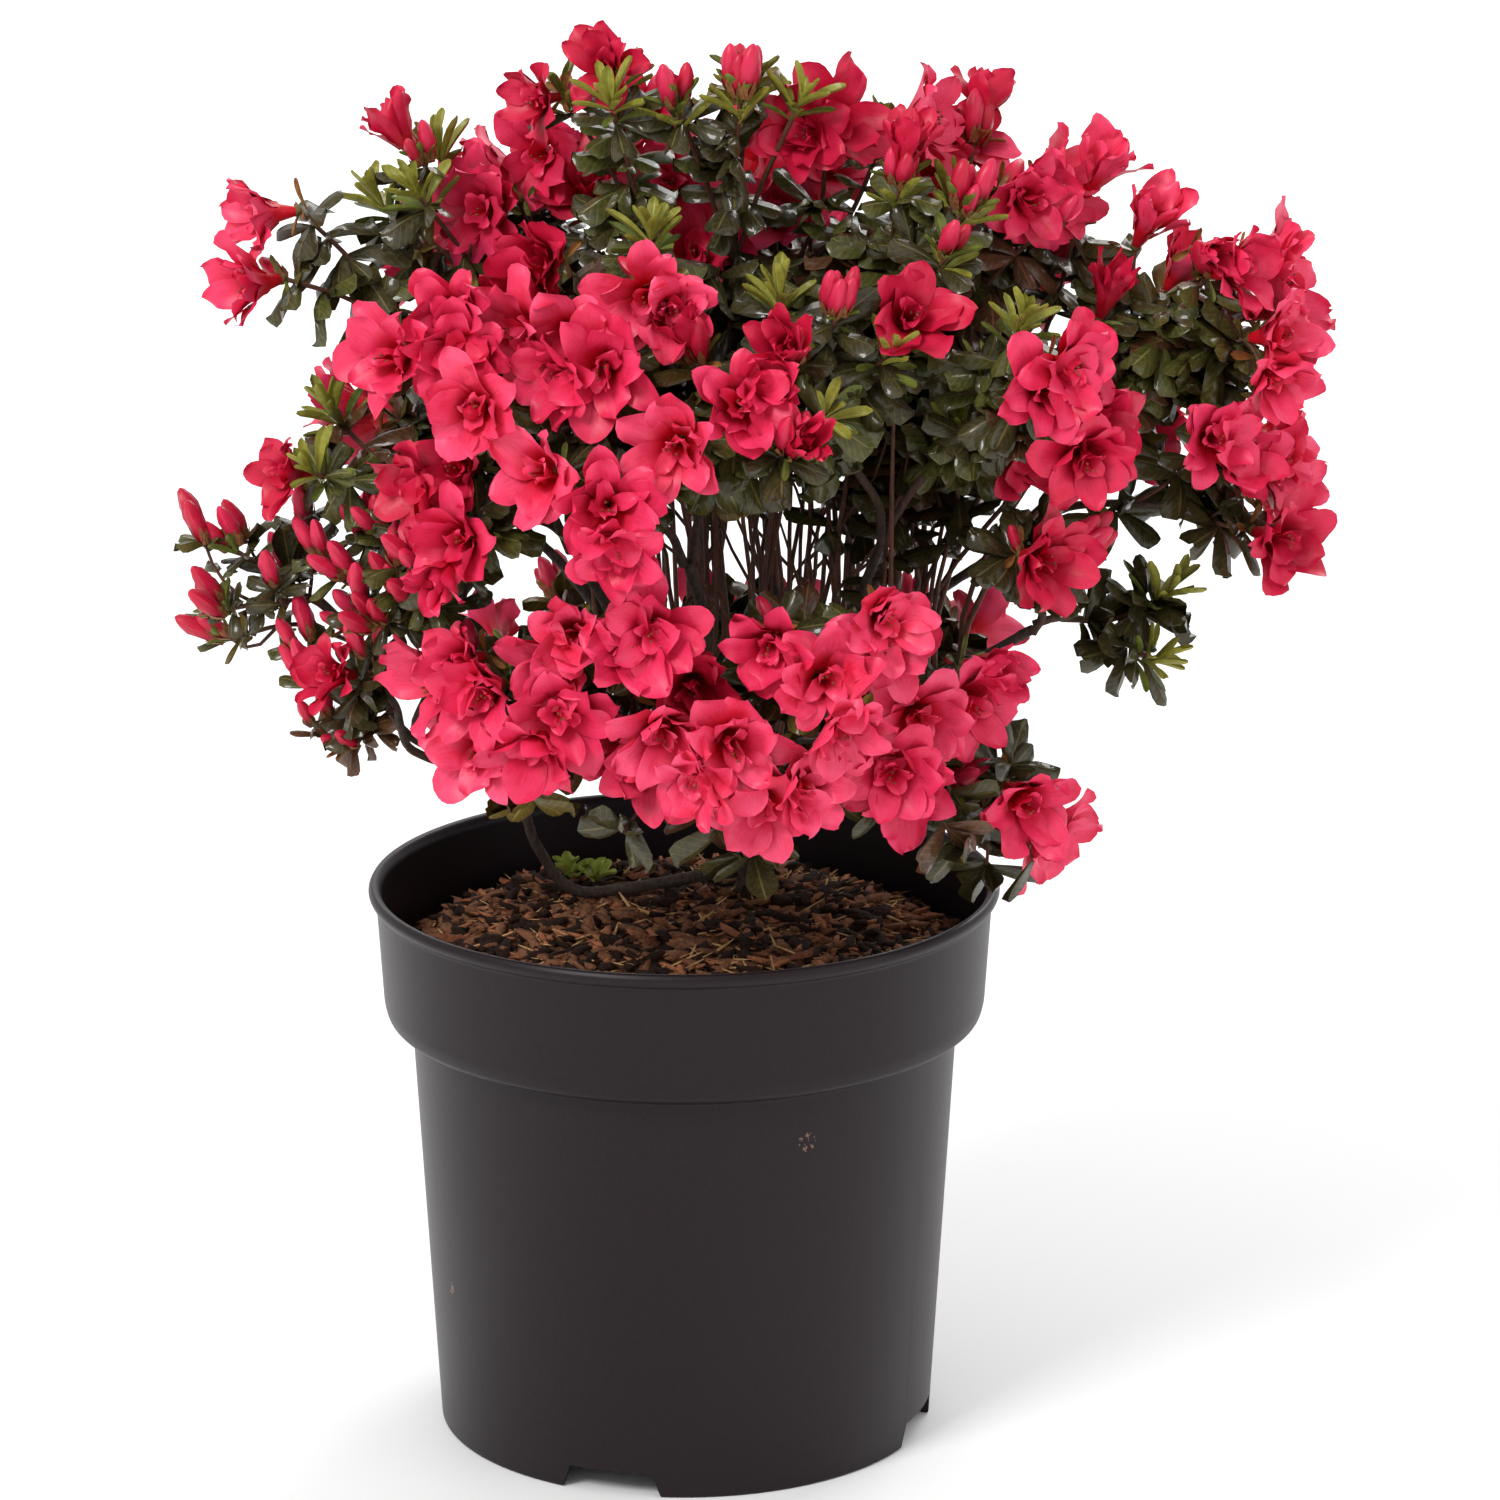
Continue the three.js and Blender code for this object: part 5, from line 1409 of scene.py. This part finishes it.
def leaf_finish(name, dark, middle, light, rib, roughness, coat):
    """Leaf skin: mottled green with a paler midrib and a waxy coat, from screen colours."""
    finish = mottled_finish(name, dark, middle, light, coarse=60, fine=500, roughness=roughness,
                            bump=0.15, depth=0.0003, specular=0.2)
    veined = add_node(finish.node_tree, "ShaderNodeGroup", {
        "Colour": fed_to(finish, "Base Color"), "Rib colour": srgb(*rib), "Rib width": 0.035},
        node_tree=ribs)
    feed_shader(finish, {"Base Color": veined.outputs["Colour"], "Coat Weight": coat,
                         "Coat Roughness": 0.08})
    return finish


leaf_finishes = [
    leaf_finish("leaf_dark", (38, 38, 20), (54, 51, 26), (82, 72, 40), (110, 100, 60), 0.4, 0.5),
    leaf_finish("leaf_green", (50, 56, 24), (70, 74, 31), (102, 96, 46), (134, 126, 70), 0.4, 0.45),
    leaf_finish("leaf_olive", (74, 68, 28), (98, 84, 36), (128, 104, 50), (154, 132, 72), 0.42, 0.3),
    leaf_finish("leaf_bronze", (58, 38, 24), (80, 50, 32), (106, 72, 46), (134, 96, 62), 0.4, 0.4),
]
outer_leaves.piece("outer_leaves", leaf_finishes)
inner_leaves.piece("inner_leaves", leaf_finishes)
for head in heads:
    rising_way = unit(head["facing"] + up * 0.7)
    if head["kind"] == "flush":
        new_leaves.whorl(head["tip"] - head["facing"] * 2, rising_way, 5, 0.4, 15, 0)
        new_leaves.whorl(head["tip"] - head["facing"] * 5, rising_way, 6, 0.8, 18, 0)
        new_leaves.whorl(head["tip"] - head["facing"] * 9, rising_way, 5, 1.15, 17, 1)
    elif head["mass"] in spires:
        new_leaves.whorl(head["route"][-1], rising_way, 6, 0.7, 15, 1)
        new_leaves.whorl(head["route"][-1] - rising_way * 6, rising_way, 6, 0.95, 17, 0)
    elif head["kind"] == "buds":
        new_leaves.whorl(head["route"][-1], rising_way, 5, 0.75, 12, leaf_random.integers(1, 3))
for row in blossoms:
    new_leaves.whorl(row["neck"], row["facing"], 4, 1.25, 11, leaf_random.integers(1, 3))
new_finishes = [
    leaf_finish("leaf_new", (112, 114, 36), (144, 144, 52), (174, 168, 78), (182, 178, 96), 0.45, 0.15),
    leaf_finish("leaf_lime", (74, 90, 32), (98, 112, 42), (130, 134, 60), (150, 150, 80), 0.42, 0.25),
    leaf_finish("bract_rust", (112, 70, 32), (142, 92, 44), (168, 124, 66), (176, 140, 84), 0.5, 0.1),
]
new_leaves.piece("new_leaves", new_finishes)

# ---------------------------------------------------------------- fallen leaves and seedlings
# Dropped azalea leaves that have dried russet and curled on the mix, and two pale green
# seedlings that have come up beside the low side branch.

fallen_count = 26
fallen_random = np.random.default_rng(97)
fallen = Growth()
for _ in range(fallen_count):
    reach = soil_shoulder_radius * math.sqrt(fallen_random.uniform(0.12, 0.9))
    turn = fallen_random.uniform(0, 2 * math.pi)
    x, y = reach * math.cos(turn), reach * math.sin(turn)
    lying_way = fallen_random.uniform(0, 2 * math.pi)
    along_leaf = unit(np.array([math.cos(lying_way), math.sin(lying_way), fallen_random.normal(0.05, 0.18)]))
    over = unit(up + fallen_random.normal(0, 0.35, 3))
    over = unit(over - along_leaf * (over @ along_leaf))
    frame_rows = np.array([np.cross(over, along_leaf), over, along_leaf])
    length = fallen_random.uniform(9, 17)
    width = length * fallen_random.uniform(0.3, 0.45)
    spot = np.array([x, y, soil_surface(x, y) + 2.4])
    fallen.add_copies(leaf_shape(fallen_random.uniform(-0.6, 0.6), 0.1, fallen_random.uniform(0.2, 0.8), 0.5),
                      [spot], frame_rows[None], [[width, width, length]], fallen_random.integers(2))
fallen_finishes = [
    leaf_finish("leaf_dry", (92, 48, 32), (126, 68, 44), (158, 96, 64), (96, 54, 36), 0.7, 0.0),
    leaf_finish("leaf_faded", (112, 66, 40), (148, 94, 58), (180, 128, 84), (110, 68, 44), 0.7, 0.0),
]
fallen_leaves = fallen.piece("fallen_leaves", fallen_finishes)

seedlings = Foliage([new_leaf_shape], broad=0.95)
for x, y, size in ((-33, 31, 12), (-43, 39, 10)):
    heart = np.array([x, y, soil_surface(x, y) + 4])
    seedlings.whorl(heart, up, 5, 0.9, size, 0)
    seedlings.whorl(heart + up * 3, up, 3, 0.5, size * 0.8, 0)
seedlings.piece("seedlings", [
    leaf_finish("leaf_seedling", (132, 148, 56), (158, 170, 72), (186, 194, 98), (192, 200, 116), 0.5, 0.1),
])

# ---------------------------------------------------------------- flowers
# Hose-in-hose double flowers about forty millimetres across: a short tube with a green calyx
# opens into five broad petals, with a second, more ruffled ring of five inside it and a few small
# ones in the throat. Coral pink petals, crimson in the throat and deepened there by painted shade,
# in ones and twos on short stalks.

petal_rows = 9
petal_columns = 7
tube_mouth = 3.4
widest_share = 0.62
full_openings = (1.0, 0.92, 0.85, 1.08, 0.78, 0.95)
half_openings = (0.12, 0.3, 0.02)
# Each ring of petals: how many, their length and half width, how far they lean at the foot and at
# the tip when open and when furled, their cup, their ruffle and the turn of the ring.
petal_rings = [
    (5, 23.0, 7.4, (0.62, 0.14), (1.25, 0.34), 0.24, 2.0, 0.0),
    (5, 21.0, 6.5, (0.42, 0.08), (0.98, 0.2), 0.3, 2.2, math.pi / 5),
    (4, 13.0, 3.6, (0.16, 0.0), (0.7, 0.15), 0.5, 1.6, 0.3),
]


def petal_places(length, half_width, bend_from, bend_to, cup, ruffle, random):
    """The grid of one petal from the tube's mouth, rising along +Z and leaning out along +X."""
    shares = 1 - (1 - np.linspace(0, 1, petal_rows)) ** 1.35
    past_widest = ((shares - widest_share) / (1 - widest_share + 1e-9)).clip(0, 1)
    halves = np.where(shares < widest_share, 0.3 + 0.7 * np.sin(np.pi / 2 * shares / widest_share),
                      (1 - past_widest ** 2.0) ** 0.64)
    halves = np.maximum(halves, 0.1) * half_width
    lean = bend_from + (bend_to - bend_from) * (shares ** 1.25)
    steps = np.diff(shares, prepend=0) * length
    reach = tube_mouth + np.cumsum(np.sin(lean) * steps)
    height = -3.0 + np.cumsum(np.cos(lean) * steps)
    phases = random.uniform(0, 2 * math.pi, 2)
    waves = random.uniform(1.1, 2.2, 2)
    twist = random.normal(0, 0.34)
    sway = random.normal(0, 0.16)
    fold = random.uniform(0.05, 0.13)
    rows, uv = [], []
    for share, half, angle, out, rise in zip(shares, halves, lean, reach, height):
        for side in np.linspace(-1, 1, petal_columns):
            edge = 0 if side < 0 else 1
            lift = cup * side * side * half * (1 - 0.75 * share)
            wave = math.sin(2 * math.pi * waves[edge] * share + phases[edge])
            lift += ruffle * abs(side) ** 2.2 * wave * share
            lift += twist * side * half * share
            lift -= fold * half_width * math.exp(-(side / 0.22) ** 2) * (1 - share * 0.4)
            aside = side * half + sway * length * share * share
            rows.append((out - math.cos(angle) * lift, aside, rise + math.sin(angle) * lift))
            uv.append((side / 2 + 0.5, share))
    return np.array(rows), np.array(uv)


def grid_faces(rows, columns):
    """Faces of a sheet of rows and columns of places."""
    index = np.arange(rows - 1)[:, None] * columns + np.arange(columns - 1)[None]
    return np.stack([index, index + 1, index + columns + 1, index + columns], axis=2).reshape(-1, 4)


def turned(places, angle):
    """Places turned about +Z."""
    c, s = math.cos(angle), math.sin(angle)
    return places @ np.array([[c, s, 0], [-s, c, 0], [0, 0, 1]])


def tube_places(profile, sides):
    """Rings of a tube about +Z from (radius, height) points."""
    angles = np.arange(sides + 1) / sides * 2 * math.pi
    rings = [np.column_stack([radius * np.cos(angles), radius * np.sin(angles), np.full(sides + 1, height)])
             for radius, height in profile]
    uv = [np.column_stack([np.arange(sides + 1) / sides, np.full(sides + 1, 0.0)]) for _ in profile]
    return np.vstack(rings), np.vstack(uv)


petal_tone, stamen_slot, calyx_slot = 0, 3, 4
shape_columns = ("places", "uv", "faces", "slots", "toned")


def joined_shape(parts):
    """One shape from parts: each its places, texture coordinates, faces, finish, and 1 if toned."""
    rows = []
    count = 0
    for places, uv, faces, slot, toned in parts:
        rows.append((places, uv, faces + count, np.full(len(faces), slot), np.full(len(faces), toned)))
        count += len(places)
    return {name: np.concatenate(column) for name, column in zip(shape_columns, zip(*rows))}


def flower_shape(opening, seed):
    """A whole double flower. Opening runs from 0, half open, to 1, full."""
    random = np.random.default_rng(seed)
    tube = tube_places([(1.2, -11.5), (2.3, -8), (tube_mouth + 0.3, -2.4)], 8)
    calyx = tube_places([(1.3, -11.8), (2.2, -10.4), (2.1, -9.2)], 6)
    parts = [(*tube, grid_faces(3, 9), petal_tone, 1), (*calyx, grid_faces(3, 7), calyx_slot, 0)]
    for ring_number, ring in enumerate(petal_rings):
        number, length, half, base_lean, tip_lean, cup, ruffle, offset = ring
        for i in range(number):
            start = base_lean[1] + (base_lean[0] - base_lean[1]) * opening + random.normal(0, 0.12)
            end = tip_lean[1] + (tip_lean[0] - tip_lean[1]) * opening
            end += random.normal(0, 0.12 + 0.24 * opening)
            breadth = half * random.uniform(0.8, 1.08) * (0.6 + 0.4 * min(opening, 1))
            part, part_uv = petal_places(length * random.uniform(0.84, 1.06), breadth, start, end, cup,
                                         ruffle, random)
            angle = offset + i * 2 * math.pi / number + random.normal(0, 0.16)
            if ring_number == 2:
                part[:, 0] -= tube_mouth * 0.75
            faces = grid_faces(petal_rows, petal_columns)
            parts.append((turned(part, angle), part_uv, faces, petal_tone, 1))
    for i in range(4):
        angle = random.uniform(0, 2 * math.pi)
        lean = random.uniform(0.1, 0.4)
        tip = np.array([math.sin(lean), 0, math.cos(lean)]) * random.uniform(6, 9) * (0.4 + 0.6 * opening)
        width = 0.28
        corners = np.array([[0, -width, 0], [0, width, 0], [width, 0, 0], [0, -width, 0]])
        thread = np.vstack([corners + (1, 0, -3), corners + tip])
        parts.append((turned(thread, angle), np.zeros((8, 2)), grid_faces(2, 4), petal_tone, 1))
        anther, anther_uv = tube_places([(0.1, -0.2), (0.6, 0.4), (0.1, 1.2)], 4)
        parts.append((turned(anther + tip, angle), anther_uv, grid_faces(3, 5), stamen_slot, 0))
    return joined_shape(parts)


full_flowers = [flower_shape(opening, 300 + i) for i, opening in enumerate(full_openings)]
half_flowers = [flower_shape(opening, 340 + i) for i, opening in enumerate(half_openings)]


def petal_finish(name, edge, middle, base, roughness):
    """Petal skin: pale towards its edge, deeper red towards the throat (partly its own colour, partly painted
    shade in the cup), with fine darker veins.
    """
    finish = mottled_finish(name, middle, edge, edge, coarse=70, fine=260, roughness=roughness,
                            bump=0.2, depth=0.0004, specular=0.35)
    tree = finish.node_tree
    shape = add_node(tree, "ShaderNodeUVMap", uv_map="shape")
    split = add_node(tree, "ShaderNodeSeparateXYZ", {0: shape.outputs[0]})
    # Painted shade: the share of the deep throat colour rises towards the foot of the petal, on top of the
    # throat's own deeper red.
    depth = add_node(tree, "ShaderNodeMapRange", {
        "From Min": 0.12, "From Max": 0.54, "To Min": 1, "To Max": 0, "Value": split.outputs["Y"]})
    veins = add_node(tree, "ShaderNodeMapRange", {
        "From Min": 0.5, "From Max": 0.72, "To Max": 0.45, "Value": drawn_noise(tree, (26, 2.5, 1), 2)})
    mark = worked(tree, "MAXIMUM", depth.outputs["Result"], veins.outputs["Result"])
    colour = blended(tree, mark, fed_to(finish, "Base Color"), srgb(*base))
    feed_shader(finish, {"Base Color": colour})
    return finish


# The third colour of each petal finish is the throat's deep red, made darker so that it also serves as
# painted shade in the cup.
blossom_finishes = [
    petal_finish("petal_coral", (244, 78, 120), (232, 46, 84), (208, 14, 38), 0.42),
    petal_finish("petal_rose", (236, 58, 104), (220, 32, 72), (194, 8, 32), 0.42),
    petal_finish("petal_crimson", (214, 34, 76), (198, 18, 54), (170, 4, 28), 0.44),
    mottled_finish("anther", (90, 40, 30), (130, 70, 44), (170, 120, 70), 300, 900, 0.8),
    mottled_finish("calyx", (80, 84, 40), (110, 112, 56), (140, 90, 60), 200, 700, 0.6),
]
blossom_growth = [Growth(), Growth()]
roll_random = np.random.default_rng(59)
for order, row in enumerate(blossoms):
    facing, size = row["facing"], row["size"]
    across = spoke(facing, roll_random.uniform(0, 2 * math.pi))
    frame_rows = np.array([across, np.cross(facing, across), facing])
    shapes = full_flowers if row["open"] else half_flowers
    shape = shapes[roll_random.integers(len(shapes))]
    spot = row["neck"] + facing * head_neck * size
    blossom_growth[order % 2].add_copies(shape, [spot], frame_rows[None], [[size] * 3], row["tone"])
for order, growth in enumerate(blossom_growth):
    flowers = growth.piece(f"flowers_{order + 1}", blossom_finishes)
pedicel_growth = Growth()
for order, points in enumerate(stalks):
    add_limb(pedicel_growth, smoothed(points, 3), tapered(0.75, 0.9, 7), 6, 0.02, seed=900 + order)
pedicel_finish = mottled_finish("pedicel", (72, 46, 30), (90, 64, 38), (112, 88, 50),
                                coarse=200, fine=700, roughness=0.6)
flower_stalks = pedicel_growth.piece("flower_stalks", [pedicel_finish])

# ---------------------------------------------------------------- buds
# Slender pointed flower buds in ones to fives at the shoot tips: crimson petals furled in a
# twist, held at the foot by small russet scales.

scale_count = 6
bud_scale_slot = 2
# Each shape of bud: its length, its radius and the turn of its petal edges.
bud_sizes = [(15.5, 3.1, 1.4), (13, 2.8, 1.0), (17.5, 3.4, 1.8)]


def bud_shape(length, radius, twist, seed):
    """A furled bud about +Z, with five low turns of petal edge."""
    random = np.random.default_rng(seed)
    shares = np.array([0, 0.08, 0.25, 0.45, 0.65, 0.83, 0.95, 1.0])
    girth = np.array([0.4, 0.62, 0.88, 1.0, 0.94, 0.72, 0.4, 0.06]) * radius
    sides = 10
    angles = np.arange(sides + 1) / sides * 2 * math.pi
    rings, uv = [], []
    for share, size in zip(shares, girth):
        ridge = 1 + 0.13 * np.cos(5 * (angles + twist * share)) + 0.04 * np.cos(2 * angles)
        bend = 0.08 * length * share ** 2
        rings.append(np.column_stack([size * ridge * np.cos(angles) + bend, size * ridge * np.sin(angles),
                                      np.full(sides + 1, share * length)]))
        uv.append(np.column_stack([angles / 6.3, np.full(sides + 1, 0.2 + share * 0.6)]))
    parts = [(np.vstack(rings), np.vstack(uv), grid_faces(len(shares), sides + 1), 0, 1)]
    for i in range(scale_count):
        angle = i * 2 * math.pi / scale_count + random.normal(0, 0.15)
        reach = radius * random.uniform(0.7, 1.0)
        tall = length * random.uniform(0.22, 0.42)
        foot, middle, tip = reach * 0.5, reach * 1.12, reach * 1.3
        scale = np.array([[foot, -1.1, -0.8], [foot, 1.1, -0.8], [middle, 1.2, tall * 0.5],
                          [middle, -1.2, tall * 0.5], [tip, 0.12, tall], [tip, -0.12, tall]])
        scale_faces = np.array([[0, 1, 2, 3], [3, 2, 4, 5]])
        parts.append((turned(scale, angle), np.tile([0.5, 0.3], (6, 1)), scale_faces, bud_scale_slot, 0))
    return joined_shape(parts)


bud_shapes = [bud_shape(*size, seed) for seed, size in enumerate(bud_sizes, 1)]
bud_random = np.random.default_rng(61)
bud_growth = Growth()
clusters = []
for head in heads:
    most = 4 if head["mass"] in small_leaved else 6
    if head["mass"] == "far_left_bud":
        most = 3
    numbers = {"buds": bud_random.integers(2, most), "flower": bud_random.integers(0, 2), "flush": 0}
    leans = (0.04, 0.22) if head["kind"] == "buds" else (0.8, 1.1)
    clusters.append((head["route"][-1], unit(head["facing"] + up * 0.9), numbers[head["kind"]], leans))
for twig in bud_twigs:
    clusters.append((twig["route"][-1], twig["facing"], bud_random.integers(1, 3), (0.04, 0.2)))
for foot, way, number, leans in clusters:
    start = bud_random.uniform(0, 2 * math.pi)
    for i in range(number):
        lean = bud_random.uniform(*leans)
        out = spoke(way, start + i * 2 * math.pi / number)
        facing = unit(way * math.cos(lean) + out * math.sin(lean))
        across, _ = sideways(facing)
        frame_rows = np.array([across, np.cross(facing, across), facing])
        beside = 0 if number == 1 else bud_random.uniform(2.4, 3.2)
        spot = foot + out * beside + facing * bud_random.uniform(0, 2.5)
        shape = bud_shapes[bud_random.integers(len(bud_shapes))]
        bud_growth.add_copies(shape, [spot], frame_rows[None], [[bud_random.uniform(0.8, 1.1)] * 3],
                              int(bud_random.integers(2)))
# The buds share the petal skin, so they are darker towards the foot, partly their own deeper red and partly
# painted shade.
bud_finishes = [
    petal_finish("bud_crimson", (204, 30, 66), (182, 18, 50), (146, 8, 32), 0.38),
    petal_finish("bud_rose", (222, 44, 84), (198, 28, 64), (162, 12, 40), 0.38),
    mottled_finish("bud_scale", (98, 56, 32), (138, 84, 46), (170, 120, 70), 200, 700, 0.7),
]
buds = bud_growth.piece("flower_buds", bud_finishes)
